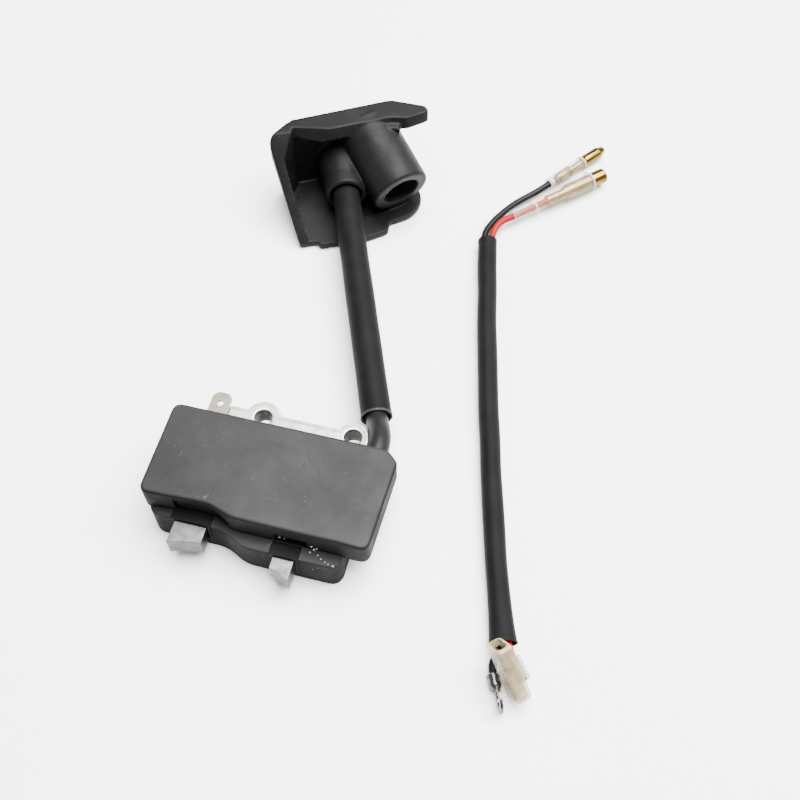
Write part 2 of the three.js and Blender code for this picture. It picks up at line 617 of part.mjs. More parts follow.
// The contact spring winds round the tube's axis and ends in a tail that meets the conductor.
class SpringPath extends THREE.Curve {
  getPoint(t, target = new THREE.Vector3()) {
    const side = v3(0, 0, 1).cross(TUBE_OUTWARD).normalize();
    const up = TUBE_OUTWARD.clone().cross(side);
    const winding = 0.86;        // how much of the path is wound
    const bend = 0.04;           // how much of it leads to the tail
    const turn = Math.min(t / winding, 1) * SPRING_TURNS * 2 * Math.PI;
    const depth = SPRING_FRONT + Math.min(t / winding, 1) * SPRING_LENGTH;
    const point = tubePoint(depth).addScaledVector(side, SPRING_RADIUS * Math.cos(turn))
      .addScaledVector(up, SPRING_RADIUS * Math.sin(turn));
    if (t > winding) {
      point.lerp(tubePoint(PLUG_BORE_DEPTH + 5), Math.min((t - winding) / bend, 1));
      point.lerp(leadLine(LEAD_END + 4 * GAP), Math.max(0, (t - winding - bend) / (1 - winding - bend)));
    }
    return target.copy(point);
  }
}
named('plug_contact_spring', swept(new SpringPath(), SPRING_WIRE, 0, 6, 60), FINISH.tinned, boot);

// ---------------------------------------------------------------- stop lead

group.add(freeLead);

const sleevingPoints = [
  [38.4, 92.8], [38.9, 90.5], [40.8, 80.6], [42.8, 71.5], [45.2, 58.9], [47.9, 46.8], [50.5, 35.2], [53, 24],
  [55.7, 13.3], [58.1, 2.9], [60.7, -7.2], [63.2, -16.8], [65.6, -26.2], [68.2, -35.3], [70.7, -44],
  [72.7, -50.8],
].map(([x, y]) => v3(x, y, SLEEVING_Z));
const sleevingCurve = new THREE.CatmullRomCurve3(sleevingPoints, false, 'centripetal');
named('stop_lead_sleeving', swept(sleevingCurve, SLEEVING_OUTER, SLEEVING_INNER, SMALL_SIDES, 24),
  FINISH.woven, freeLead);

// A wire's points inside the sleeving, on one side of its middle.
function besideSleeving(side) {
  return sleevingPoints.map((point, i) => {
    const tangent = sleevingCurve.getTangent(i / (sleevingPoints.length - 1));
    const offset = WIRE_OFFSET * side;
    return v3(point.x - tangent.y * offset, point.y + tangent.x * offset, point.z);
  });
}

const MALE_START = v3(54.8, 125.8, 2.7);
const MALE_ALONG = v3(0.6, 0.8, 0);
const FEMALE_START = v3(44.9, 105.9, 3.8);
const FEMALE_ALONG = v3(0.715, 0.699, 0);
const RING_START = v3(71.7, -59.7, 2);
const RING_ALONG = v3(3.7, -8.8, 0).normalize();
const FLAG_WIRE_END = v3(80.1, -59.8, 4);

const blackWire = new THREE.CatmullRomCurve3([
  MALE_START.clone().addScaledVector(MALE_ALONG, 5),
  MALE_START.clone(),
  MALE_START.clone().addScaledVector(MALE_ALONG, -6),
  v3(46.9, 116.2, 2.6), v3(44, 112.4, 2.8), v3(41, 107.4, 3), v3(38.5, 102.2, 3.2), v3(37, 97.3, 3.3),
  ...besideSleeving(-1),
  v3(71.3, -54.8, 2.6), v3(71, -57.2, 2.1),
  RING_START.clone().addScaledVector(RING_ALONG, 2.5),
], false, 'centripetal');
named('black_wire', swept(blackWire, WIRE_DIAMETER, 0, WIRE_SIDES, 56), FINISH.black, freeLead);

const redWire = new THREE.CatmullRomCurve3([
  FEMALE_START.clone().addScaledVector(FEMALE_ALONG, 19),
  FEMALE_START.clone().addScaledVector(FEMALE_ALONG, 8),
  FEMALE_START.clone(),
  FEMALE_START.clone().addScaledVector(FEMALE_ALONG, -5),
  v3(40.6, 98.6, 3.4),
  ...besideSleeving(1),
  v3(75.2, -53, 3.5), v3(77.6, -56.2, 3.8),
  FLAG_WIRE_END,
], false, 'centripetal');
named('red_wire', swept(redWire, WIRE_DIAMETER, 0, WIRE_SIDES, 56), FINISH.red, freeLead);

const wireBore = WIRE_DIAMETER / 2 + 0.2;

const CRIMP_RADIUS = WIRE_DIAMETER / 2 + GAP + 0.3;
const maleAt = (distance) => MALE_START.clone().addScaledVector(MALE_ALONG, distance);

function makeMaleBullet() {
  const r = MALE.tip / 2;
  const body = turned([[0, 2.6], [CRIMP_RADIUS, 2.6], [CRIMP_RADIUS, MALE.cover - 5], [1.1, MALE.cover - 4.4],
    [1.1, MALE.cover - 1], [1.7, MALE.cover - 0.6], [1.7, MALE.cover + GAP], [r, MALE.cover + GAP],
    [r, MALE.total - 3], [r - 0.9, MALE.total - 0.6], [0, MALE.total]], 20, MALE_START, MALE_ALONG);
  return body.subtract(rod(wireBore, maleAt(0), maleAt(5 + GAP)));
}

named('male_bullet', geometryOf(makeMaleBullet()), FINISH.brass, freeLead);

function makeMaleCover() {
  const wall = 0.4;
  const inner = CRIMP_RADIUS + GAP;
  const mouth = MALE.mouth / 2;
  const outer = turned([[0, 0], [MALE.neck / 2, 0], [MALE.neck / 2, 1], [inner + wall, 2.2],
    [mouth, MALE.cover], [0, MALE.cover]], 20, MALE_START, MALE_ALONG);
  return cutBy(outer, [
    rod(wireBore, maleAt(-1), maleAt(3), 16),
    turned([[0, 2], [inner, 2], [mouth - wall, MALE.cover], [mouth - wall, MALE.cover + 1],
      [0, MALE.cover + 1]], 16, MALE_START, MALE_ALONG),
  ]);
}

named('male_bullet_cover', geometryOf(makeMaleCover()), FINISH.clear, freeLead);

function makeFemaleBullet() {
  const at = (d) => FEMALE_START.clone().addScaledVector(FEMALE_ALONG, d);
  const r = FEMALE.tip / 2;
  const body = turned([[0, 15], [1.9, 15], [1.9, 22], [r, 24], [r, FEMALE.total], [0, FEMALE.total]], 20,
    FEMALE_START, FEMALE_ALONG);
  return cutBy(body, [
    rod(wireBore, at(14), at(19 + GAP)),
    rod(r - 0.5, at(26), at(FEMALE.total + 1), 20),
  ]);
}

named('female_bullet', geometryOf(makeFemaleBullet()), FINISH.brass, freeLead);

function makeFemaleCover() {
  const neck = FEMALE.neck / 2;
  const body = FEMALE.body / 2;
  const outer = turned([[0, 0], [neck, 0], [neck, 9.5], [body - 0.6, 12.5], [body, 18], [body, FEMALE.cover],
    [0, FEMALE.cover]], 24, FEMALE_START, FEMALE_ALONG);
  const inner = turned([[0, 11], [1.9 + GAP, 12.5], [1.9 + GAP, 15.5], [FEMALE.tip / 2 + GAP, 18],
    [FEMALE.tip / 2 + GAP, FEMALE.cover + 1], [0, FEMALE.cover + 1]], 20, FEMALE_START, FEMALE_ALONG);
  const at = (d) => FEMALE_START.clone().addScaledVector(FEMALE_ALONG, d);
  return cutBy(outer, [inner, rod(wireBore, at(-1), at(13), 16)]);
}

named('female_bullet_cover', geometryOf(makeFemaleCover()), FINISH.clear, freeLead);

// ring terminal, standing on its edge
function makeRing() {
  const side = v3(-RING_ALONG.y, RING_ALONG.x, 0);
  const barrel = rod(WIRE_DIAMETER / 2 + 0.75, RING_START, RING_START.clone().addScaledVector(RING_ALONG, 4));
  const centre = RING_START.clone().addScaledVector(RING_ALONG, 3.6 + RING_OUTER / 2).setZ(RING_OUTER / 2);
  const half = side.clone().multiplyScalar(TAB_THICKNESS / 2);
  const disc = rod(RING_OUTER / 2, centre.clone().sub(half), centre.clone().add(half), 24);
  const hole = rod(RING_HOLE / 2, centre.clone().addScaledVector(side, -2),
    centre.clone().addScaledVector(side, 2), 20);
  const wire = rod(wireBore, RING_START.clone().addScaledVector(RING_ALONG, -1),
    RING_START.clone().addScaledVector(RING_ALONG, 2.5 + GAP));
  return cutBy(joined([barrel, disc]), [wire, hole]);
}

named('ring_terminal', geometryOf(makeRing()), FINISH.tinned, freeLead);

// flag receptacle and its cover: the mouth leans up and back from the crimp
const FLAG_END = v3(80.2, -64.4, 3.2);
const FLAG_MOUTH = v3(71.2, -55.2, 14.4);
const flag = new THREE.Group();
flag.position.copy(FLAG_END);
const flagAlong = FLAG_MOUTH.clone().sub(FLAG_END);
const FLAG_LENGTH = flagAlong.length();
flagAlong.normalize();
const flagWide = v3(0, 0, 1).sub(flagAlong.clone().multiplyScalar(flagAlong.z)).normalize();
const flagThin = flagWide.clone().cross(flagAlong);
flag.quaternion.setFromRotationMatrix(new THREE.Matrix4().makeBasis(flagThin, flagWide, flagAlong));
freeLead.add(flag);
flag.updateMatrixWorld(true);
const toFlag = new THREE.Matrix4().copy(flag.matrix).invert();

const FLAG_THICK = 5;
const FLAG_WIDE = 8.4;
const FLAG_WALL = 0.8;

function flagBlock(inset, z0, z1) {
  const x = FLAG_THICK / 2 - inset;
  const y = FLAG_WIDE / 2 - inset;
  const corner = Math.min(x, 1.6);
  return plate(outline([[-x, -y, corner], [x, -y, corner], [x, y, corner], [-x, y, corner]]), z0, z1);
}

const armEnd = FLAG_WIRE_END.clone().applyMatrix4(toFlag);
const armStart = v3(76.1, -54.4, 3.6).applyMatrix4(toFlag);

named('flag_cover', geometryOf(cutBy(joined([
  flagBlock(0, 0, FLAG_LENGTH),
  rod(WIRE_DIAMETER / 2 + GAP + FLAG_WALL, armStart, armEnd, 16),
]), [
  flagBlock(FLAG_WALL, FLAG_WALL, FLAG_LENGTH + 1),
  rod(wireBore, armStart.clone().add(armStart.clone().sub(armEnd).setLength(1)), armEnd.clone()
    .add(armEnd.clone().sub(armStart).setLength(0.6)), 12),
])), FINISH.clear, flag);

function makeReceptacle() {
  const x = FLAG_THICK / 2 - FLAG_WALL - GAP;
  const y = FLAG_WIDE / 2 - FLAG_WALL - GAP;
  const t = 0.45;
  const z0 = FLAG_LENGTH - 9;
  const z1 = FLAG_LENGTH - 0.8;
  const folded = joined([
    block(-x, -x + t, -y, y, z0, z1),
    block(-x, x, y - t, y, z0, z1),
    block(-x, x, -y, -y + t, z0, z1),
    block(x - t, x, y - 2, y, z0, z1),
    block(x - t, x, -y, -y + 2, z0, z1),
    block(-x, -x + t, -1.2, 1.2, z0 - 4, z0 + 0.1),
  ]);
  return folded.intersect(flagBlock(FLAG_WALL + GAP, z0 - 4, z1));
}

named('flag_receptacle', geometryOf(makeReceptacle()), FINISH.tinned, flag);

// ---------------------------------------------------------------- origin at the centre of the footprint

group.updateMatrixWorld(true);
const footprint = new THREE.Box3();
group.traverse((node) => {
  if (!node.isMesh) return;
  let above = node.parent;
  while (above && above !== freeLead) above = above.parent;
  if (!above) footprint.expandByObject(node, true);
});
const centre = footprint.getCenter(new THREE.Vector3());
group.children.forEach((child) => {
  child.position.x -= centre.x;
  child.position.y -= centre.y;
  child.position.z -= footprint.min.z;
});

export default group;
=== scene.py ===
"""Small-engine ignition coil with its plug boot and its loose two-wire stop lead.

Sizes are in millimetres in the coil's own layout: X along the case, Y away from the flywheel and
Z up from the surface that everything lies on. Finished meshes are moved into the frame's metres.
"""

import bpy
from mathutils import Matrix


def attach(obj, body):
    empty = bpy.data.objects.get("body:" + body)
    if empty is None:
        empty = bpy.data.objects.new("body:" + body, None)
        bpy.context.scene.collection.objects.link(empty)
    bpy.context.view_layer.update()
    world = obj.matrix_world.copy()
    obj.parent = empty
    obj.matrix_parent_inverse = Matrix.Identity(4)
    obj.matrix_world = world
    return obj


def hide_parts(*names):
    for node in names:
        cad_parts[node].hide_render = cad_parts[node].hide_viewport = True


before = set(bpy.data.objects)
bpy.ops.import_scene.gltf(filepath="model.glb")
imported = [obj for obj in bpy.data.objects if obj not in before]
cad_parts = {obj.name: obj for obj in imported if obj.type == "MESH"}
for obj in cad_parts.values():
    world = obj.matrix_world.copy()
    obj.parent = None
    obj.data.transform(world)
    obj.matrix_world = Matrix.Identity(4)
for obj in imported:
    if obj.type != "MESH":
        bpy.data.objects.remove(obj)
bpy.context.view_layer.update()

import logging
import math
from dataclasses import dataclass, field
from enum import Enum
from typing import Callable, Sequence

import bpy
import numpy as np
from mathutils import Matrix, Vector

MM = 0.001
SHIFT = (5.205848, -37.749416, 0.0)
LEAN = math.radians(21.6)
LEAD_ORIGIN = (19.7, 9.1)
CORD_MAP = "round_and_along"

Piece = bpy.types.Object
Socket = bpy.types.NodeSocket
Flat = tuple[float, float]
Point = tuple[float, float, float]
Corner = tuple[float, ...]
Outline = Sequence[Flat]

log = logging.getLogger("ignition_coil")
logging.basicConfig(level=logging.INFO, format="%(message)s")


class Body(Enum):
    """The bodies of the motion model that a piece can ride on."""

    COIL = "coil"
    SLEEVE = "sleeve"
    BOOT = "boot"
    STOP_LEAD = "stop_lead"
    MALE_COVER = "male_cover"
    FEMALE_COVER = "female_cover"


COIL_FRAME = Matrix.Translation(Vector(SHIFT) * MM)
LEAD_FRAME = COIL_FRAME @ Matrix.Translation(Vector((*LEAD_ORIGIN, 0.0)) * MM) @ Matrix.Rotation(LEAN, 4, "Z")


def in_frame(point: Point) -> Vector:
    """Return a point of the coil's layout in the frame's metres."""
    return COIL_FRAME @ (Vector(point) * MM)


def on_lead(x: float, y: float, z: float) -> Point:
    """Turn a point of the plug lead's layout into one of the coil's layout, both in millimetres.

    Args:
        x: Distance to the right of the lead.
        y: Distance along the lead from the start of its sleeve.
        z: Height over the surface.

    Returns:
        The point in the coil's layout.
    """
    return (LEAD_ORIGIN[0] + x * math.cos(LEAN) - y * math.sin(LEAN),
            LEAD_ORIGIN[1] + x * math.sin(LEAN) + y * math.cos(LEAN), z)


def ahead(start: Point, along: Point, distance: float) -> Point:
    """Return the point at a distance from a start along a direction."""
    return tuple(Vector(start) + Vector(along).normalized() * distance)


def along_axis(origin: Point, axis: Point, base: Matrix = COIL_FRAME) -> Matrix:
    """Return the matrix that stands a turned piece's own Z on an axis of the layout.

    Args:
        origin: Where the piece's own zero goes, in millimetres.
        axis: The direction its Z points in.
        base: The layout that origin and axis are given in.

    Returns:
        The matrix from the piece's own metres to the frame's.
    """
    turn = Vector(axis).to_track_quat("Z", "Y").to_matrix().to_4x4()
    return base @ Matrix.Translation(Vector(origin) * MM) @ turn


# ---------------------------------------------------------------- shaping tools


def rounded(corners: Sequence[Corner], steps: int = 5) -> list[Flat]:
    """Round the corners of an outline.

    Args:
        corners: Each corner as x, y and, where it is rounded, its radius.
        steps: How many edges each round takes.

    Returns:
        The points of the rounded outline.
    """
    points: list[Flat] = []
    count = len(corners)
    for i, corner in enumerate(corners):
        here = Vector(corner[:2])
        radius = corner[2] if len(corner) > 2 else 0.0
        if radius <= 0:
            points.append((here.x, here.y))
            continue
        before = Vector(corners[i - 1][:2]) - here
        after = Vector(corners[(i + 1) % count][:2]) - here
        start = here + before.normalized() * radius
        end = here + after.normalized() * radius
        for k in range(steps + 1):
            t = k / steps
            mid = start * (1 - t) ** 2 + here * (2 * t * (1 - t)) + end * t ** 2
            points.append((mid.x, mid.y))
    return points


class Bench:
    """Modelling operations, each used the way it is used by hand."""

    @staticmethod
    def clear() -> None:
        """Leave nothing selected."""
        bpy.ops.object.select_all(action="DESELECT")

    @staticmethod
    def take(obj: Piece) -> Piece:
        """Select one object alone and make it active."""
        Bench.clear()
        obj.select_set(True)
        bpy.context.view_layer.objects.active = obj
        return obj

    @staticmethod
    def edit(obj: Piece) -> None:
        """Enter edit mode on an object with all of it selected."""
        Bench.take(obj)
        bpy.ops.object.mode_set(mode="EDIT")
        bpy.ops.mesh.select_all(action="SELECT")

    @staticmethod
    def pick(obj: Piece, test: Callable[[Vector, Vector], bool]) -> None:
        """Enter edit mode with the faces selected whose centre, in millimetres, and normal pass a test."""
        Bench.take(obj)
        bpy.ops.object.mode_set(mode="EDIT")
        bpy.ops.mesh.select_mode(type="FACE")
        bpy.ops.mesh.select_all(action="DESELECT")
        bpy.ops.object.mode_set(mode="OBJECT")
        for face in obj.data.polygons:
            face.select = test(face.center / MM, face.normal)
        bpy.ops.object.mode_set(mode="EDIT")

    @staticmethod
    def leave() -> None:
        """Go back to object mode."""
        bpy.ops.object.mode_set(mode="OBJECT")

    @staticmethod
    def outward(obj: Piece) -> Piece:
        """Merge doubles and point every face outwards."""
        Bench.edit(obj)
        bpy.ops.mesh.remove_doubles(threshold=2e-6)
        bpy.ops.mesh.normals_make_consistent(inside=False)
        Bench.leave()
        return obj

    @staticmethod
    def loft(name: str, low: Outline, high: Outline,
             z0: float, z1: float) -> Piece:
        """Extrude an outline upwards into another of as many points.

        Args:
            name: The piece's name.
            low: The outline at z0, in millimetres.
            high: The outline at z1.
            z0: The lower height.
            z1: The upper height.

        Returns:
            The closed piece.
        """
        Bench.clear()
        bpy.ops.mesh.primitive_circle_add(vertices=len(low), radius=1, fill_type="NGON")
        obj = bpy.context.object
        obj.name = obj.data.name = name
        for vertex, (x, y) in zip(obj.data.vertices, low):
            vertex.co = (x * MM, y * MM, z0 * MM)
        Bench.edit(obj)
        bpy.ops.mesh.extrude_region_move(TRANSFORM_OT_translate={"value": (0, 0, (z1 - z0) * MM)})
        Bench.leave()
        for vertex in obj.data.vertices:
            if vertex.co.z > (z0 + z1) / 2 * MM:
                here = vertex.co.to_2d() / MM
                nearest = min(range(len(low)), key=lambda k: (here - Vector(low[k])).length)
                vertex.co.x, vertex.co.y = (value * MM for value in high[nearest])
        return Bench.outward(obj)

    @staticmethod
    def slab(name: str, outline: Outline, z0: float, z1: float) -> Piece:
        """Extrude an outline between two heights."""
        return Bench.loft(name, outline, outline, z0, z1)

    @staticmethod
    def block(name: str, low: Point, high: Point) -> Piece:
        """Make a plain block between two corners, for cutting with or bevelling."""
        corners = [(low[0], low[1]), (high[0], low[1]), (high[0], high[1]), (low[0], high[1])]
        return Bench.slab(name, corners, low[2], high[2])

    @staticmethod
    def turned(name: str, profile: Outline, sides: int = 48,
               hollow: bool = False) -> Piece:
        """Turn a profile about the piece's own Z by extruding and scaling one ring.

        Args:
            name: The piece's name.
            profile: Radius and height of each ring, in millimetres.
            sides: Facets round the axis.
            hollow: True where the last ring closes on the first, as on a tube.

        Returns:
            The closed piece.
        """
        Bench.clear()
        radius, height = profile[0]
        bpy.ops.mesh.primitive_circle_add(vertices=sides, radius=radius * MM, location=(0, 0, height * MM),
                                          fill_type="NOTHING" if hollow else "NGON")
        obj = bpy.context.object
        obj.name = obj.data.name = name
        bpy.ops.object.transform_apply(location=True, rotation=False, scale=False)
        Bench.edit(obj)
        rings = list(profile[1:]) + ([profile[0]] if hollow else [])
        for next_radius, next_height in rings:
            step = {"value": (0, 0, (next_height - height) * MM)}
            if hollow:
                bpy.ops.mesh.extrude_edges_move(TRANSFORM_OT_translate=step)
            else:
                bpy.ops.mesh.extrude_region_move(TRANSFORM_OT_translate=step)
            ratio = next_radius / radius
            bpy.ops.transform.resize(value=(ratio, ratio, 1), center_override=(0, 0, next_height * MM))
            radius, height = next_radius, next_height
        Bench.leave()
        return Bench.outward(obj)

    @staticmethod
    def modify(obj: Piece, kind: str, **settings: object) -> Piece:
        """Add a modifier with its settings and apply it.

        Args:
            obj: The piece.
            kind: The modifier's type.
            settings: The modifier's values by name.

        Returns:
            The same piece.
        """
        Bench.take(obj)
        modifier = obj.modifiers.new(kind.lower(), kind)
        for key, value in settings.items():
            setattr(modifier, key, value)
        bpy.ops.object.modifier_apply(modifier=modifier.name)
        return obj

    @staticmethod
    def bevel(obj: Piece, width: float, segments: int = 3, angle: float = 35) -> Piece:
        """Round every edge sharper than an angle, by a width in millimetres."""
        return Bench.modify(obj, "BEVEL", width=width * MM, segments=segments, limit_method="ANGLE",
                            angle_limit=math.radians(angle), use_clamp_overlap=True)

    @staticmethod
    def combine(obj: Piece, other: Piece, operation: str) -> Piece:
        """Unite with or cut by another piece, which is used up."""
        Bench.modify(obj, "BOOLEAN", operation=operation, solver="EXACT", object=other)
        bpy.data.objects.remove(other, do_unlink=True)
        return obj

    @staticmethod
    def cut(obj: Piece, *others: Piece) -> Piece:
        """Cut a piece by each of the others."""
        for other in others:
            Bench.combine(obj, other, "DIFFERENCE")
        return obj

    @staticmethod
    def unite(obj: Piece, *others: Piece) -> Piece:
        """Unite a piece with each of the others."""
        for other in others:
            Bench.combine(obj, other, "UNION")
        return obj

    @staticmethod
    def join(name: str, pieces: Sequence[Piece]) -> Piece:
        """Join several pieces into one object."""
        Bench.take(pieces[0])
        for piece in pieces[1:]:
            piece.select_set(True)
        bpy.ops.object.join()
        pieces[0].name = pieces[0].data.name = name
        return pieces[0]

    @staticmethod
    def trim(obj: Piece, point: Point, normal: Point) -> Piece:
        """Cut away what lies beyond a plane and close the cut.

        Args:
            obj: The piece.
            point: A point of the plane, in millimetres.
            normal: The direction of what is cut away.

        Returns:
            The same piece.
        """
        Bench.edit(obj)
        bpy.ops.mesh.bisect(plane_co=Vector(point) * MM, plane_no=normal, use_fill=True, clear_outer=True)
        Bench.leave()
        return obj

    @staticmethod
    def smooth(obj: Piece, angle: float = 40) -> Piece:
        """Shade smooth across edges flatter than an angle, with flat faces kept flat."""
        Bench.take(obj)
        bpy.ops.object.shade_smooth_by_angle(angle=math.radians(angle))
        return Bench.modify(obj, "WEIGHTED_NORMAL", keep_sharp=True)

    @staticmethod
    def settle(obj: Piece, matrix: Matrix = COIL_FRAME) -> Piece:
        """Put a piece's place into its mesh, with its object at the origin."""
        obj.data.transform(matrix)
        obj.matrix_world = Matrix.Identity(4)
        obj.data.update()
        return obj


def travelled(points: np.ndarray) -> np.ndarray:
    """Return each point's distance along the line through them all."""
    return np.concatenate([[0.0], np.cumsum(np.linalg.norm(np.diff(points, axis=0), axis=1))])


def blend(a: np.ndarray, b: np.ndarray, start: float, end: float, t: float) -> np.ndarray:
    """Return the point between a, where t is start, and b, where t is end."""
    return (a * (end - t) + b * (t - start)) / (end - start)


@dataclass(frozen=True)
class Route:
    """A smooth line through points of the coil's layout, in millimetres."""

    points: tuple[Point, ...]
    step: float = 1.0
    fineness: int = 24

    def sampled(self) -> np.ndarray:
        """Return points about a step apart on a centripetal curve through the given ones."""
        given = np.array(self.points, dtype=float)
        padded = np.vstack([2 * given[0] - given[1], given, 2 * given[-1] - given[-2]])
        fine: list[np.ndarray] = []
        for i in range(len(padded) - 3):
            four = padded[i:i + 4]
            gaps = np.linalg.norm(np.diff(four, axis=0), axis=1)
            knots = np.concatenate([[0.0], np.cumsum(np.maximum(gaps, 1e-6) ** 0.5)])
            for t in np.linspace(knots[1], knots[2], self.fineness, endpoint=False):
                first = [blend(four[k], four[k + 1], knots[k], knots[k + 1], t) for k in range(3)]
                second = [blend(first[k], first[k + 1], knots[k], knots[k + 2], t) for k in range(2)]
                fine.append(blend(second[0], second[1], knots[1], knots[2], t))
        dense = np.array([*fine, given[-1]])
        reach = travelled(dense)
        stops = np.linspace(0.0, reach[-1], max(2, int(round(reach[-1] / self.step)) + 1))
        return np.stack([np.interp(stops, reach, dense[:, k]) for k in range(3)], axis=1)

    def length(self) -> float:
        """Return the line's length in millimetres."""
        return float(travelled(self.sampled())[-1])

    def metres(self) -> list[list[float]]:
        """Return the sampled line in the frame's metres."""
        return [list(in_frame(tuple(p))) for p in self.sampled()]


def cord_mesh(name: str, route: Route, outer: float, inner: float = 0.0, sides: int = 40,
              swell: Callable[[float, float], float] | None = None) -> Piece:
    """Make a cord, wire or sleeve along a route, with a UV map in millimetres round and along it.

    Args:
        name: The piece's name.
        route: Its middle line.
        outer: Its outer diameter in millimetres.
        inner: Its bore in millimetres, or 0 where it is solid.
        sides: Facets round it.
        swell: Radius to add in millimetres at a distance along it and an angle round it.

    Returns:
        The closed piece, already in the frame's metres.
    """
    line = route.sampled()
    count = len(line)
    reach = travelled(line)
    tangents = np.gradient(line, axis=0)
    tangents /= np.linalg.norm(tangents, axis=1)[:, None]
    side = np.cross(tangents[0], (0, 0, 1.0))
    across = np.empty_like(tangents)
    for i, tangent in enumerate(tangents):
        side = side - tangent * side.dot(tangent)
        side /= np.linalg.norm(side)
        across[i] = side
    upward = np.cross(across, tangents)
    angles = np.linspace(0, 2 * math.pi, sides, endpoint=False)

    rings: list[tuple[int, float, bool]] = [(i, outer / 2, True) for i in range(count)]
    if inner > 0:
        rings += [(i, inner / 2, False) for i in reversed(range(count))]
    verts: list[Point] = []
    for index, radius, outside in rings:
        for angle in angles:
            grown = radius + (swell(reach[index], angle) if swell else 0.0)
            outward = across[index] * math.cos(angle) + upward[index] * math.sin(angle)
            verts.append(tuple(in_frame(tuple(line[index] + outward * grown))))
    faces: list[tuple[int, ...]] = []
    uvs: list[Flat] = []
    total = len(rings)
    spans = total if inner > 0 else total - 1
    for r in range(spans):
        nxt = (r + 1) % total
        for k in range(sides):
            other = (k + 1) % sides
            faces.append((r * sides + k, r * sides + other, nxt * sides + other, nxt * sides + k))
            u0, u1 = k / sides * math.pi * outer, (k + 1) / sides * math.pi * outer
            v0, v1 = reach[rings[r][0]], reach[rings[nxt][0]]
            uvs += [(u0, v0), (u1, v0), (u1, v1), (u0, v1)]
    if inner <= 0:
        for ring_index, order in ((0, -1), (total - 1, 1)):
            cap = tuple(ring_index * sides + k for k in range(sides))[::order]
            faces.append(cap)
            uvs += [(math.cos(angles[c % sides]) * outer / 2, reach[rings[ring_index][0]]
                     + math.sin(angles[c % sides]) * outer / 2) for c in cap]
    mesh = bpy.data.meshes.new(name)
    mesh.from_pydata(verts, [], faces)
    layer = mesh.uv_layers.new(name=CORD_MAP)
    for loop, uv in zip(layer.data, uvs):
        loop.uv = uv
    obj = bpy.data.objects.new(name, mesh)
    bpy.context.scene.collection.objects.link(obj)
    Bench.edit(obj)
    bpy.ops.mesh.normals_make_consistent(inside=False)
    Bench.leave()
    return Bench.smooth(obj, 50)


# ---------------------------------------------------------------- finishes


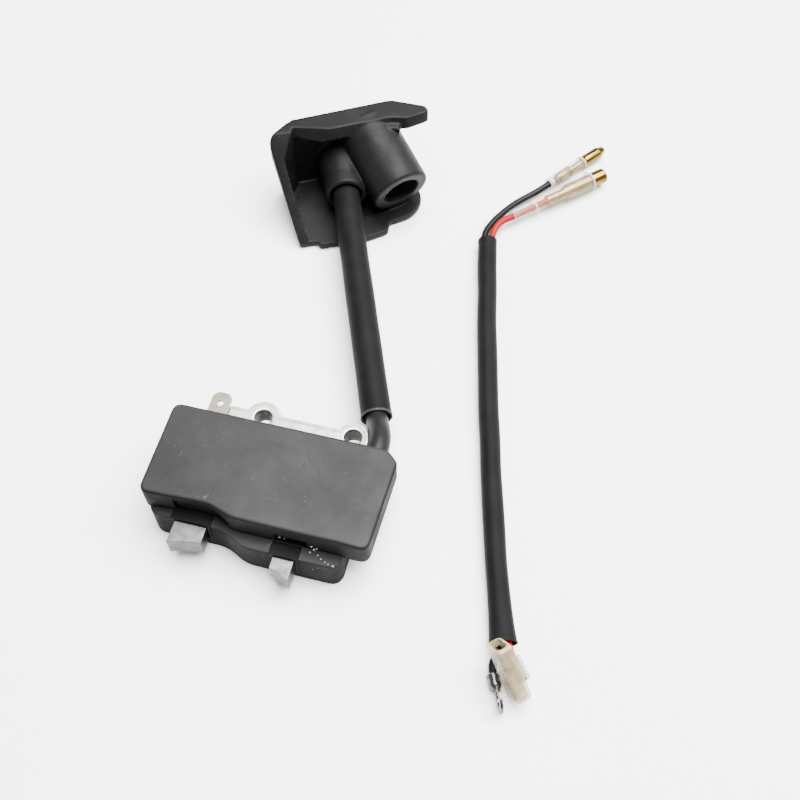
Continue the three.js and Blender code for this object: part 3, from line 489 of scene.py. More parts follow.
class Nodes:
    """A small builder of one material's nodes."""

    def __init__(self, name: str) -> None:
        """Start a material with a Principled shader and object coordinates.

        Args:
            name: The material's name.
        """
        self.material = bpy.data.materials.new(name)
        self.material.use_nodes = True
        self.tree = self.material.node_tree
        self.shader = self.tree.nodes["Principled BSDF"]
        self.where = self.tree.nodes.new("ShaderNodeTexCoord")

    def add(self, kind: str, **values: object) -> bpy.types.Node:
        """Add a node, setting properties by name and inputs by an i_ prefix or number."""
        node = self.tree.nodes.new(kind)
        for key, value in values.items():
            if key.startswith("i_"):
                label = key[2:].replace("_", " ")
                node.inputs[int(label) if label.isdigit() else label].default_value = value
            else:
                setattr(node, key, value)
        return node

    def link(self, source: Socket, target: Socket) -> None:
        """Join an output to an input."""
        self.tree.links.new(source, target)

    def place(self, scale: Point = (1, 1, 1), uv: str = "") -> Socket:
        """Return object coordinates, or a UV map's, scaled."""
        mapping = self.add("ShaderNodeMapping", i_Scale=scale)
        if uv:
            self.link(self.add("ShaderNodeUVMap", uv_map=uv).outputs[0], mapping.inputs[0])
        else:
            self.link(self.where.outputs["Object"], mapping.inputs[0])
        return mapping.outputs[0]

    def noise(self, scale: float, detail: float = 4, rough: float = 0.55, distort: float = 0.0,
              coords: Socket | None = None) -> Socket:
        """Return a noise value from 0 to 1."""
        node = self.add("ShaderNodeTexNoise", i_Scale=scale, i_Detail=detail, i_Roughness=rough,
                        i_Distortion=distort)
        self.link(coords or self.place(), node.inputs["Vector"])
        return node.outputs["Fac"]

    def ramp(self, value: Socket, stops: Sequence[tuple[float, Point]]) -> Socket:
        """Return a colour that follows a value through stops of position and colour."""
        node = self.add("ShaderNodeValToRGB")
        elements = node.color_ramp.elements
        while len(elements) < len(stops):
            elements.new(0.5)
        for element, (position, colour) in zip(elements, stops):
            element.position = position
            element.color = (*colour, 1.0)
        self.link(value, node.inputs[0])
        return node.outputs[0]

    def level(self, value: Socket, low: float, high: float, start: float = 0.0,
              end: float = 1.0) -> Socket:
        """Return a value mapped from start..end to low..high and kept between them."""
        node = self.add("ShaderNodeMapRange", clamp=True)
        for label, number in (("From Min", start), ("From Max", end), ("To Min", low), ("To Max", high)):
            node.inputs[label].default_value = number
        self.link(value, node.inputs["Value"])
        return node.outputs[0]

    def math(self, operation: str, a: Socket | float, b: Socket | float = 0.0
             ) -> Socket:
        """Return an arithmetic result of two values."""
        node = self.add("ShaderNodeMath", operation=operation)
        for socket, value in zip(node.inputs, (a, b)):
            if isinstance(value, (int, float)):
                socket.default_value = value
            else:
                self.link(value, socket)
        return node.outputs[0]

    def mix(self, factor: Socket, a: object, b: object) -> Socket:
        """Return a blend of two colours, each a socket or a tuple."""
        node = self.add("ShaderNodeMix", data_type="RGBA")
        self.link(factor, node.inputs["Factor"])
        for socket, value in ((node.inputs[6], a), (node.inputs[7], b)):
            if isinstance(value, Socket):
                self.link(value, socket)
            else:
                socket.default_value = (*value, 1.0)
        return node.outputs[2]

    def bump(self, height: Socket, strength: float, depth: float) -> None:
        """Drive the shader's normal from a height, depth being in millimetres."""
        node = self.add("ShaderNodeBump", i_Strength=strength, i_Distance=depth * MM)
        self.link(height, node.inputs["Height"])
        self.link(node.outputs[0], self.shader.inputs["Normal"])

    def scratches(self, scale: float, width: float, amount: float) -> Socket:
        """Return 1 on sparse thin wandering lines and 0 elsewhere.

        Args:
            scale: How close the lines come, per metre.
            width: Their half width as a share of a cell.
            amount: The share of the surface that has none, from 0 to 1.

        Returns:
            The mask.
        """
        wander = self.noise(scale * 1.4, 3, 0.6)
        shifted = self.add("ShaderNodeVectorMath", operation="ADD")
        self.link(self.place(), shifted.inputs[0])
        bend = self.add("ShaderNodeVectorMath", operation="SCALE")
        self.link(wander, bend.inputs[0])
        bend.inputs["Scale"].default_value = 1.2 / scale
        self.link(bend.outputs[0], shifted.inputs[1])
        cells = self.add("ShaderNodeTexVoronoi", feature="DISTANCE_TO_EDGE", i_Scale=scale)
        self.link(shifted.outputs[0], cells.inputs["Vector"])
        line = self.level(cells.outputs["Distance"], 1.0, 0.0, 0.0, width)
        patch = self.level(self.noise(scale * 0.8, 2, 0.5), 0.0, 1.0, amount, amount + 0.06)
        return self.math("MULTIPLY", line, patch)


@dataclass(frozen=True)
class Moulded:
    """Moulded plastic or rubber: mottled, dusty, finely grained and scuffed."""

    name: str
    dark: Point
    light: Point
    roughness: Flat = (0.4, 0.6)
    grain: float = 0.02
    dust: float = 0.15
    scuffs: float = 0.0
    specular: float = 0.5
    patch: float = 60.0

    def make(self) -> bpy.types.Material:
        """Return the finished material."""
        nodes = Nodes(self.name)
        broad = nodes.noise(self.patch, 5, 0.6, 0.4)
        colour = nodes.ramp(broad, [(0.32, self.dark), (0.7, self.light)])
        specks = nodes.level(nodes.noise(2600, 2, 0.5), 0.0, 1.0, 0.66, 0.74)
        settled = nodes.level(nodes.noise(140, 3, 0.5), 0.0, self.dust, 0.45, 0.75)
        faint = nodes.math("MULTIPLY", specks, settled)
        colour = nodes.mix(faint, colour, (0.32, 0.31, 0.3))
        rough = nodes.level(nodes.noise(self.patch * 2.3, 5, 0.62), *self.roughness, 0.3, 0.72)
        height = nodes.noise(3200, 3, 0.6)
        if self.scuffs > 0:
            lines = nodes.scratches(60, 0.012, 0.6)
            colour = nodes.mix(nodes.math("MULTIPLY", lines, self.scuffs), colour, (0.004, 0.004, 0.004))
            pale = nodes.scratches(74, 0.011, 0.62)
            colour = nodes.mix(nodes.math("MULTIPLY", pale, self.scuffs * 0.5), colour, (0.16, 0.16, 0.16))
            height = nodes.math("SUBTRACT", height, nodes.math("MULTIPLY", lines, 2.0))
        nodes.link(colour, nodes.shader.inputs["Base Color"])
        nodes.link(rough, nodes.shader.inputs["Roughness"])
        nodes.shader.inputs["Specular IOR Level"].default_value = self.specular
        nodes.bump(height, 0.5, self.grain)
        return nodes.material


@dataclass(frozen=True)
class Metal:
    """Bare or plated metal with fine brushing, tarnish and small marks."""

    name: str
    clean: Point
    tarnish: Point
    roughness: Flat = (0.25, 0.45)
    stretch: Point = (1.0, 1.0, 1.0)
    brushing: float = 900.0
    depth: float = 0.01
    layers: float = 0.0

    def make(self) -> bpy.types.Material:
        """Return the finished material."""
        nodes = Nodes(self.name)
        brushed = nodes.noise(self.brushing, 3, 0.6, 0.0, nodes.place(self.stretch))
        stains = nodes.noise(260, 5, 0.6, 0.6)
        colour = nodes.ramp(stains, [(0.4, self.clean), (0.72, self.tarnish)])
        streak = nodes.level(brushed, 0.0, 0.35, 0.45, 0.7)
        colour = nodes.mix(streak, colour, tuple(c * 0.7 for c in self.clean))
        height = brushed
        if self.layers > 0:
            split = nodes.add("ShaderNodeSeparateXYZ")
            nodes.link(nodes.place(), split.inputs[0])
            wave = nodes.math("SINE", nodes.math("MULTIPLY", split.outputs["Z"], 2 * math.pi * self.layers))
            seam = nodes.level(wave, 0.0, 1.0, 0.75, 1.0)
            around = nodes.add("ShaderNodeNewGeometry")
            facing = nodes.add("ShaderNodeSeparateXYZ")
            nodes.link(around.outputs["Normal"], facing.inputs[0])
            upright = nodes.level(nodes.math("ABSOLUTE", facing.outputs["Z"]), 1.0, 0.0, 0.2, 0.6)
            seam = nodes.math("MULTIPLY", seam, upright)
            colour = nodes.mix(nodes.math("MULTIPLY", seam, 0.55), colour, (0.05, 0.05, 0.05))
            height = nodes.math("SUBTRACT", height, seam)
        nodes.link(colour, nodes.shader.inputs["Base Color"])
        nodes.link(nodes.level(stains, *self.roughness, 0.3, 0.75), nodes.shader.inputs["Roughness"])
        nodes.shader.inputs["Metallic"].default_value = 1.0
        nodes.bump(height, 0.6, self.depth)
        return nodes.material


@dataclass(frozen=True)
class Braid:
    """A woven sleeve whose strands cross in chevrons along a cord's UV map."""

    name: str
    dark: Point
    light: Point
    pitch: float = 1.15
    depth: float = 0.14
    roughness: Flat = (0.6, 0.85)
    dust: float = 0.25
    strength: float = 1.0
    specular: float = 0.3

    def make(self) -> bpy.types.Material:
        """Return the finished material."""
        nodes = Nodes(self.name)
        coords = nodes.place(uv=CORD_MAP)
        split = nodes.add("ShaderNodeSeparateXYZ")
        nodes.link(coords, split.inputs[0])
        turn = 2 * math.pi / self.pitch
        slope = [nodes.math("ADD", split.outputs["Y"], split.outputs["X"]),
                 nodes.math("SUBTRACT", split.outputs["Y"], split.outputs["X"])]
        waves = [nodes.math("SINE", nodes.math("MULTIPLY", line, turn)) for line in slope]
        swap = nodes.math("SINE", nodes.math("MULTIPLY", split.outputs["X"], turn * 0.5))
        over = nodes.level(swap, 0.0, 1.0, -0.25, 0.25)
        first = nodes.math("MULTIPLY", nodes.level(waves[0], 0.0, 1.0, -1.0, 1.0), over)
        second = nodes.math("MULTIPLY", nodes.level(waves[1], 0.0, 1.0, -1.0, 1.0),
                            nodes.math("SUBTRACT", 1.0, over))
        weave = nodes.math("ADD", first, second)
        fibres = nodes.noise(5200, 2, 0.5)
        dusty = nodes.level(nodes.noise(120, 4, 0.6), 0.0, self.dust, 0.4, 0.75)
        colour = nodes.ramp(weave, [(0.1, self.dark), (0.95, self.light)])
        colour = nodes.mix(nodes.math("MULTIPLY", dusty, weave), colour, (0.2, 0.2, 0.2))
        nodes.link(colour, nodes.shader.inputs["Base Color"])
        nodes.link(nodes.level(weave, self.roughness[1], self.roughness[0]), nodes.shader.inputs["Roughness"])
        nodes.shader.inputs["Specular IOR Level"].default_value = self.specular
        nodes.bump(nodes.math("ADD", weave, nodes.math("MULTIPLY", fibres, 0.25)), self.strength, self.depth)
        return nodes.material


@dataclass(frozen=True)
class Film:
    """Thin milky vinyl that shows what is under it."""

    name: str
    colour: Point
    edge: Point
    cover: Flat = (0.3, 0.5)
    roughness: float = 0.28

    def make(self) -> bpy.types.Material:
        """Return the finished material."""
        nodes = Nodes(self.name)
        cloud = nodes.noise(420, 4, 0.55, 0.3)
        colour = nodes.ramp(cloud, [(0.35, self.colour), (0.7, self.edge)])
        nodes.link(colour, nodes.shader.inputs["Base Color"])
        rim = nodes.add("ShaderNodeLayerWeight", i_Blend=0.35)
        milk = nodes.level(cloud, *self.cover, 0.3, 0.7)
        dense = nodes.math("ADD", milk, nodes.math("MULTIPLY", rim.outputs["Facing"], 0.16))
        nodes.link(dense, nodes.shader.inputs["Alpha"])
        nodes.shader.inputs["Roughness"].default_value = self.roughness
        nodes.bump(nodes.noise(900, 3, 0.5), 0.25, 0.05)
        return nodes.material


def grey(level: float, cool: float = 1.0) -> Point:
    """Return a grey of a level, its blue scaled to make it cooler or warmer."""
    return (level, level, level * cool)


class Finish(Enum):
    """The finishes of the whole assembly."""

    CASE = Moulded("case_nylon", grey(0.008, 1.05), grey(0.016, 1.05), (0.42, 0.6), grain=0.012, dust=0.25,
                   scuffs=0.75, specular=0.11, patch=48)
    # Darker copy of the case plastic for the faces not turned up: painted shade on the case's sides and
    # front.
    CASE_SIDE = Moulded("case_nylon_painted_side_shade", grey(0.004, 1.05), grey(0.0075, 1.04), (0.5, 0.68), grain=0.012,
                        dust=0.2, scuffs=0.4, specular=0.03, patch=48)
    # Near-black plastic of the leg collars, also used as painted shade on the faces inside the recesses over
    # the legs.
    DARK_SEAL = Moulded("dark_seal_and_painted_recess_shade", grey(0.002), grey(0.005), (0.5, 0.7), grain=0.03, dust=0.05,
                        specular=0.05)
    FLECK = Moulded("resin_fleck", (0.16, 0.16, 0.155), (0.3, 0.3, 0.29), (0.3, 0.5), grain=0.03, dust=0.1)
    RESIN = Moulded("potting_epoxy", grey(0.005, 1.1), grey(0.012, 1.04), (0.15, 0.35), grain=0.06, dust=0.1,
                    specular=0.2, patch=90)
    BOBBIN = Moulded("bobbin_plastic", (0.55, 0.5, 0.4), (0.68, 0.63, 0.52), grain=0.01, dust=0.05)
    LAMINATE = Moulded("board_laminate", (0.03, 0.12, 0.05), (0.05, 0.2, 0.08), (0.25, 0.4), grain=0.01,
                       dust=0.05)
    COMPONENT = Moulded("component_epoxy", grey(0.012, 1.08), grey(0.03, 1.07), (0.3, 0.5), grain=0.01,
                        dust=0.1)
    CAPACITOR = Moulded("capacitor_dip", (0.3, 0.04, 0.02), (0.42, 0.08, 0.04), (0.15, 0.3), dust=0.05)
    RUBBER = Moulded("boot_rubber", grey(0.0028, 1.07), grey(0.006, 1.03), (0.42, 0.62), grain=0.03, dust=0.1,
                     scuffs=0.1, specular=0.085, patch=70)
    INSULATION = Moulded("lead_insulation", grey(0.003, 1.1), grey(0.006, 1.07), (0.38, 0.5), dust=0.1,
                         specular=0.13)
    BLACK_WIRE = Moulded("black_vinyl", grey(0.002, 1.15), grey(0.005, 1.08), (0.3, 0.42), grain=0.01,
                         dust=0.05, specular=0.1)
    RED_WIRE = Moulded("red_vinyl", (0.17, 0.002, 0.003), (0.22, 0.003, 0.005), (0.28, 0.42), grain=0.01,
                       dust=0.02, specular=0.1)
    SLEEVE_RIM = Moulded("sleeve_rim", grey(0.01), grey(0.03), (0.5, 0.7), grain=0.05, dust=0.2, specular=0.1,
                         patch=400)
    CORE = Metal("core_steel", (0.34, 0.33, 0.32), (0.2, 0.19, 0.18), (0.34, 0.52), brushing=1500, depth=0.02,
                 layers=2000)
    LEG = Metal("leg_steel", grey(0.075), grey(0.035), (0.26, 0.4), brushing=1500, depth=0.02, layers=2000)
    HOLE = Metal("drilled_steel", (0.1, 0.085, 0.075), (0.04, 0.035, 0.03), (0.35, 0.55), (1, 1, 0.1),
                 brushing=1500, depth=0.03, layers=2000)
    TIN = Metal("tinned_steel", (0.17, 0.158, 0.132), (0.11, 0.1, 0.08), (0.3, 0.48), (1, 0.1, 1),
                brushing=1600)
    DULL_TIN = Metal("dull_tin", (0.12, 0.1, 0.08), (0.06, 0.05, 0.04), (0.3, 0.5), depth=0.03)
    BRIGHT_TIN = Metal("bright_tin", (0.11, 0.107, 0.1), (0.06, 0.057, 0.053), (0.18, 0.32), depth=0.03)
    SPRING = Metal("spring_steel", grey(0.3), grey(0.2), (0.2, 0.35), brushing=1200, depth=0.005)
    BRASS = Metal("bullet_brass", (0.2, 0.125, 0.022), (0.1, 0.055, 0.012), (0.12, 0.25), brushing=1000,
                  depth=0.02)
    COPPER = Metal("copper_wire", (0.5, 0.2, 0.1), (0.3, 0.12, 0.06), (0.25, 0.4), (1, 0.15, 1),
                   brushing=2400, depth=0.06)
    WINDING = Metal("enamelled_winding", (0.4, 0.14, 0.06), (0.22, 0.07, 0.03), (0.2, 0.35), (0.2, 1, 0.2),
                    brushing=5000, depth=0.05)
    SLEEVE = Braid("lead_sleeve", grey(0.0018, 1.11), grey(0.0035, 1.09), pitch=0.7, depth=0.03,
                   roughness=(0.5, 0.7), dust=0.02, strength=0.3, specular=0.055)
    WOVEN = Braid("woven_sleeving", grey(0.001, 1.2), grey(0.005, 1.1), pitch=0.72, depth=0.07,
                  roughness=(0.45, 0.7), dust=0.02, strength=0.6, specular=0.05)
    CLEAR = Film("clear_vinyl", (0.42, 0.34, 0.24), (0.52, 0.44, 0.33), (0.07, 0.14))
    MILKY = Film("milky_vinyl", (0.42, 0.34, 0.25), (0.52, 0.44, 0.34), (0.05, 0.12))
    RIM = Film("vinyl_rim", (0.5, 0.43, 0.34), (0.62, 0.55, 0.46), (0.5, 0.7))
    YELLOWED = Film("yellowed_vinyl", (0.26, 0.21, 0.105), (0.34, 0.28, 0.17), (0.26, 0.5))
    YELLOW_RIM = Film("yellow_vinyl_rim", (0.42, 0.34, 0.14), (0.54, 0.46, 0.26), (0.5, 0.75))


TABLE_TOP = Moulded("table_top", grey(0.8, 0.994), grey(0.83, 0.994), (0.55, 0.7), grain=0.01, dust=0.0,
                    patch=6)


class Paintbox:
    """Makes each finish's material once."""

    _made: dict[Finish, bpy.types.Material] = {}

    @classmethod
    def get(cls, finish: Finish) -> bpy.types.Material:
        """Return the material of a finish."""
        if finish not in cls._made:
            cls._made[finish] = finish.value.make()
        return cls._made[finish]


def dress(obj: Piece, finish: Finish) -> Piece:
    """Give a piece one finish all over."""
    obj.data.materials.clear()
    obj.data.materials.append(Paintbox.get(finish))
    return obj


def finish_piece(obj: Piece, finish: Finish, slot: str, body: Body, *nodes: str) -> Piece:
    """Dress a settled piece, tie it to its body and hide the nodes it stands for.

    Args:
        obj: The piece, in the frame's metres.
        finish: Its finish.
        slot: Not used.
        body: The body it moves with.
        nodes: The frame's nodes that it replaces.

    Returns:
        The same piece.
    """
    dress(obj, finish)
    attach(obj, body.value)
    if nodes:
        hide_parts(*nodes)
    log.info("%s: %d faces, on %s", obj.name, len(obj.data.polygons), body.value)
    return obj


# ---------------------------------------------------------------- outlines and small shapes


def inset(corners: Sequence[Corner], distance: float) -> list[Corner]:
    """Move an anticlockwise outline's corners inwards.

    Args:
        corners: Each corner as x, y and its radius.
        distance: How far in, in millimetres.

    Returns:
        The moved corners.
    """
    count = len(corners)
    lines = []
    for i, corner in enumerate(corners):
        here, after = Vector(corner[:2]), Vector(corners[(i + 1) % count][:2])
        along = (after - here).normalized()
        lines.append((here + Vector((-along.y, along.x)) * distance, along))
    moved: list[Corner] = []
    for i, corner in enumerate(corners):
        (before, first), (after, second) = lines[i - 1], lines[i]
        cross = first.x * second.y - first.y * second.x
        reach = ((after.x - before.x) * second.y - (after.y - before.y) * second.x) / cross
        spot = before + first * reach
        moved.append((spot.x, spot.y, max((corner[2] if len(corner) > 2 else 0) - distance, 0)))
    return moved


def ribbon(path: Outline, thickness: float) -> list[Flat]:
    """Return the outline of a bent strip whose middle follows a path."""
    left, right = [], []
    for i, point in enumerate(path):
        before = Vector(path[max(i - 1, 0)])
        after = Vector(path[min(i + 1, len(path) - 1)])
        along = (after - before).normalized()
        side = Vector((-along.y, along.x)) * thickness / 2
        left.append(tuple(Vector(point) + side))
        right.append(tuple(Vector(point) - side))
    return right + left[::-1]


def arc(centre: Flat, radius: float, start: float, end: float, steps: int
        ) -> list[Flat]:
    """Return points round a centre between two angles in degrees."""
    return [(centre[0] + radius * math.cos(math.radians(start + (end - start) * k / steps)),
             centre[1] + radius * math.sin(math.radians(start + (end - start) * k / steps)))
            for k in range(steps + 1)]


def upright(name: str, outline: Outline, y0: float, y1: float) -> Piece:
    """Make a slab whose outline is given as x and height, between two depths of the layout."""
    obj = Bench.slab(name, outline, -y1, -y0)
    obj.data.transform(Matrix.Rotation(math.pi / 2, 4, "X"))
    return obj


def peg(name: str, radius: float, start: Point, end: Point, sides: int = 32) -> Piece:
    """Make a plain rod between two points of the layout, for cutting or joining."""
    axis = Vector(end) - Vector(start)
    obj = Bench.turned(name, [(radius, 0), (radius, axis.length)], sides)
    obj.data.transform(along_axis(start, tuple(axis), Matrix.Identity(4)))
    return obj


def paint_where(obj: Piece, finish: Finish, test: Callable[[Vector, Vector], bool]) -> None:
    """Give a second finish to the faces whose centre in layout millimetres and normal pass a test."""
    obj.data.materials.append(Paintbox.get(finish))
    index = len(obj.data.materials) - 1
    back = COIL_FRAME.inverted()
    for face in obj.data.polygons:
        if test((back @ face.center) / MM, face.normal):
            face.material_index = index


# ---------------------------------------------------------------- sub-assemblies


@dataclass
class Core:
    """The laminated core with its two ears and its two legs."""

    bottom: float = 5.0
    top: float = 12.0
    back: float = 0.7
    front: float = -7.3
    left_leg: Flat = (-28.4, -18.5)
    right_leg: Flat = (3.0, 9.4)
    holes: Flat = (-14.05, 14.95)
    hole_y: float = -1.0
    hole_radius: float = 2.8
    ear_radii: Flat = (5.6, 5.0)
    flywheel: tuple[float, float, float] = (-13.1, -98.7, 53.0)
    bare_from: float = -9.0

    def pole(self, leg: Flat) -> list[Flat]:
        """Return a leg's curved tip, a gap away from the flywheel."""
        x0, y0, radius = self.flywheel
        spots = [leg[0] + (leg[1] - leg[0]) * k / 8 for k in range(9)]
        return [(x, y0 + math.sqrt(radius ** 2 - (x - x0) ** 2)) for x in spots]

    def outline(self) -> list[Flat]:
        """Return the laminations' outline."""
        right = self.holes[1] + self.ear_radii[1]
        ears = []
        for x, radius in reversed(list(zip(self.holes, self.ear_radii))):
            rise = math.degrees(math.asin((self.back - self.hole_y) / radius))
            ears.append(arc((x, self.hole_y), radius, rise, 180 - rise, 16))
        (left_edge, left_inner), (right_inner, right_outer) = self.left_leg, self.right_leg
        return [(left_edge, self.back - 2), *self.pole(self.left_leg), (left_inner, self.front),
                (right_inner, self.front), *self.pole(self.right_leg), (right_outer, self.front),
                (right, self.front), (right, self.hole_y), *ears[0], *ears[1], (left_edge + 4, self.back)]

    def build(self) -> None:
        """Stamp the outline, drill the ears, ease the edges and set the top plate in."""
        obj = Bench.slab("core_stack", self.outline(), self.bottom, self.top)
        for x in self.holes:
            Bench.cut(obj, peg("drill", self.hole_radius, (x, self.hole_y, self.bottom - 1),
                               (x, self.hole_y, self.top + 1), 40))
        Bench.bevel(obj, 0.2, 2, 40)
        Bench.edit(obj)
        bpy.ops.mesh.bisect(plane_co=(0, self.bare_from * MM, 0), plane_no=(0, 1, 0))
        Bench.leave()
        Bench.pick(obj, lambda c, n: n.z > 0.99 and c.z > self.top - 0.05 and c.y > self.bare_from)
        bpy.ops.mesh.inset(thickness=0.75 * MM, depth=0)
        bpy.ops.mesh.inset(thickness=0.12 * MM, depth=-0.1 * MM)
        Bench.leave()
        Bench.settle(Bench.smooth(obj, 30))
        finish_piece(obj, Finish.CORE, "core_steel", Body.COIL, "laminated_core")
        paint_where(obj, Finish.HOLE, lambda c, n: abs(n.z) < 0.3 and any(
            math.hypot(c.x - x, c.y - self.hole_y) < self.hole_radius + 0.05 for x in self.holes))
        paint_where(obj, Finish.LEG, lambda c, n: c.y < self.bare_from - 0.5)

    def opening(self, leg: Flat, margin: float, y0: float, y1: float) -> Piece:
        """Return a block round a leg, larger than it by a margin."""
        return Bench.block("opening", (leg[0] - margin, y0, self.bottom - margin),
                           (leg[1] + margin, y1, self.top + margin))


@dataclass
class CoilCase:
    """The moulded case, the collars round the core's legs, the stop tab and the resin flecks."""

    core: Core
    upper: tuple[Corner, ...] = ((-38.9, -38.4, 3), (-17.5, -37.5, 2), (-10, -40.1, 2), (30.4, -40.1, 3),
                                 (31.6, -10.6, 1), (28.1, -7.6, 1), (-38.9, -7.6, 3))
    lower: tuple[Corner, ...] = ((-37, -40.6, 4), (-13.5, -40.8, 3), (-6.5, -44.4, 3), (23, -44.4, 4),
                                 (23, -7.6, 1), (-37, -7.6, 2))
    ledge: float = 11.0
    top: float = 22.0
    wall: float = 1.8
    fold_x: float = 21.8
    fold_drop: float = 1.0
    back: float = -7.6
    fronts: Flat = (-40.6, -44.4)
    lead_exit: Flat = (24.0, 16.0)

    def fold(self, obj: Piece) -> None:
        """Crease the top and let its right part fall away."""
        Bench.edit(obj)
        bpy.ops.mesh.bisect(plane_co=(self.fold_x * MM, 0, 0), plane_no=(1, 0, 0))
        Bench.leave()
        for vertex in obj.data.vertices:
            x, z = vertex.co.x / MM, vertex.co.z / MM
            if z > self.top - 0.5 and x > self.fold_x:
                vertex.co.z -= self.fold_drop * (x - self.fold_x) / 9.8 * MM

    def shell(self) -> Piece:
        """Mould the closed shape: the box, the lobe below it and the lead's outlet."""
        box = Bench.slab("case_shell", rounded(self.upper, 6), self.ledge, self.top)
        self.fold(box)
        Bench.bevel(box, 1.0, 4, 30)
        lobe = Bench.bevel(Bench.slab("lobe", rounded(self.lower, 8), 0, self.ledge + self.wall), 0.5, 3, 40)
        x, z = self.lead_exit
        outlet = peg("outlet", 5.6, (x, self.back - 7, z), (x, self.back + 0.02, z), 40)
        Bench.bevel(outlet, 0.4, 2, 40)
        return Bench.unite(box, lobe, outlet)

    def windows(self) -> list[Piece]:
        """Return the cutters of the two recesses over the legs, whose inner faces get painted shade."""
        left = [(-28.8, 12.9), (-28.8, 19.6), (-16.6, 19.6), (-13.4, 18.2), (-11.6, 16), (-11.2, 14),
                (-11.6, 12.9)]
        right = [(2.4, 12.9), (2.4, 17), (12.2, 17), (12.2, 12.9)]
        return [upright("window", left[::-1], -44, -36.9), upright("window", right[::-1], -46, -39)]

    def hollows(self) -> list[Piece]:
        """Return the cutters of the inside, the legs' ways, the lead's socket and the tab's slot."""
        core, x, z = self.core, *self.lead_exit
        high, low = (rounded(inset(outline, self.wall), 4) for outline in (self.upper, self.lower))
        cutters = [
            Bench.slab("high_room", high, self.ledge + self.wall, self.top - self.wall),
            Bench.slab("low_room", low, -1, self.ledge),
            Bench.combine(Bench.slab("neck", low, self.ledge - 1, self.ledge + self.wall + 1),
                          Bench.slab("neck_box", high, 0, self.top), "INTERSECT"),
        ]
        for leg, front in zip((core.left_leg, core.right_leg), self.fronts):
            cutters += [core.opening(leg, 1.25, front - 2, front + 4.1), core.opening(leg, 0.3, front, -5.6)]
        return cutters + [peg("socket", 3.8, (x, self.back - 10, z), (x, self.back + 6, z), 32),
                          Bench.block("slot", (-31.55, -11.6, 12.7), (-24.65, -5.6, 14.1))]

    def build(self) -> None:
        """Build and dress the case and all that is fixed to it."""
        obj = Bench.cut(self.shell(), *self.windows(), *self.hollows())
        Bench.settle(Bench.smooth(obj, 32))
        finish_piece(obj, Finish.CASE, "case_plastic", Body.COIL, "coil_case")
        # Every face not turned up gets the darker copy: painted shade on the case's sides and front.
        paint_where(obj, Finish.CASE_SIDE, lambda c, n: n.z < 0.6)
        # The faces inside the recesses over the legs are painted near-black: painted shade in the recesses.
        paint_where(obj, Finish.DARK_SEAL, self.in_window)
        self.collars()
        self.tab()
        self.flecks()

    def in_window(self, centre: Vector, normal: Vector) -> bool:
        """Tell whether a face lies in one of the recesses over the legs, which get painted shade."""
        left = -28.9 < centre.x < -11 and 12.7 < centre.z < 19.7 and -39.5 < centre.y < -36.5
        right = 2.3 < centre.x < 12.3 and 12.9 < centre.z < 17.1 and -40.0 < centre.y < -38.5
        return left and abs(normal.y) > 0.5 and centre.y > -37.2 or right

    def collars(self) -> None:
        """Put an insulating collar round each leg where it leaves the case."""
        names = ("left_leg_collar", "right_leg_collar")
        core = self.core
        for name, leg, front in zip(names, (core.left_leg, core.right_leg), self.fronts):
            obj = core.opening(leg, 1.15, front - 0.3, front + 3.8)
            Bench.bevel(obj, 0.25, 2, 40)
            Bench.cut(obj, core.opening(leg, 0.15, front - 3, front + 8))
            obj.name = obj.data.name = name.replace("_collar", "_seal")
            Bench.settle(Bench.smooth(obj, 32))
            finish_piece(obj, Finish.DARK_SEAL, "collar_plastic", Body.COIL, name)

    def tab(self) -> None:
        """Make the push-on blade for the stop wire."""
        half, length, chamfer = 3.15, 14.5, 1.5
        outline = rounded([(-half, 0), (half, 0), (half, length - chamfer, 0.5),
                           (half - chamfer, length, 0.4), (-half + chamfer, length, 0.4),
                           (-half, length - chamfer, 0.5)], 3)
        obj = Bench.slab("stop_blade", outline, 0, 0.8)
        Bench.cut(obj, peg("drill", 0.95, (0, length - 3.9, -1), (0, length - 3.9, 2), 28))
        Bench.bevel(obj, 0.12, 2, 40)
        Bench.settle(Bench.smooth(obj, 32), COIL_FRAME @ Matrix.Translation(Vector((-28.1, -10.9, 13)) * MM))
        finish_piece(obj, Finish.TIN, "tinned_steel", Body.COIL, "stop_tab")

    def flecks(self) -> None:
        """Scatter the small pale drops of resin beside the right leg."""
        spots = [(3.9, -39.6, 15.2, 0.4), (13.6, -40.2, 14.9, 0.4), (15.2, -40.2, 14.2, 0.3),
                 (14.4, -40.3, 13.4, 0.45),
                 (13.3, -41.2, 12.9, 0.35), (15.8, -41.6, 12.9, 0.3), (17.0, -42.4, 12.9, 0.28),
                 (18.3, -43.1, 12.9, 0.25), (19.4, -43.4, 12.8, 0.22), (20.9, -43.6, 12.7, 0.42),
                 (12.6, -43.9, 12.6, 0.3), (16.4, -44.35, 10.6, 0.22), (5.2, -39.4, 14.3, 0.25),
                 (-0.4, -44.3, 9.6, 0.2), (14.9, -44.4, 8.7, 0.2), (22.1, -42.9, 12.3, 0.25)]
        blobs = []
        for i, (x, y, z, size) in enumerate(spots):
            Bench.clear()
            bpy.ops.mesh.primitive_ico_sphere_add(subdivisions=2, radius=size * 0.75 * MM)
            blob = bpy.context.object
            for vertex in blob.data.vertices:
                wobble = 1 + 0.32 * math.sin(vertex.index * 7.3 + i * 2.1)
                vertex.co = Vector((vertex.co.x * wobble * 1.2, vertex.co.y * wobble, vertex.co.z * 0.6))
                vertex.co += Vector((x, y, z)) * MM
            blobs.append(blob)
        obj = Bench.settle(Bench.smooth(Bench.join("resin_flecks", blobs), 60))
        finish_piece(obj, Finish.FLECK, "resin", Body.COIL)


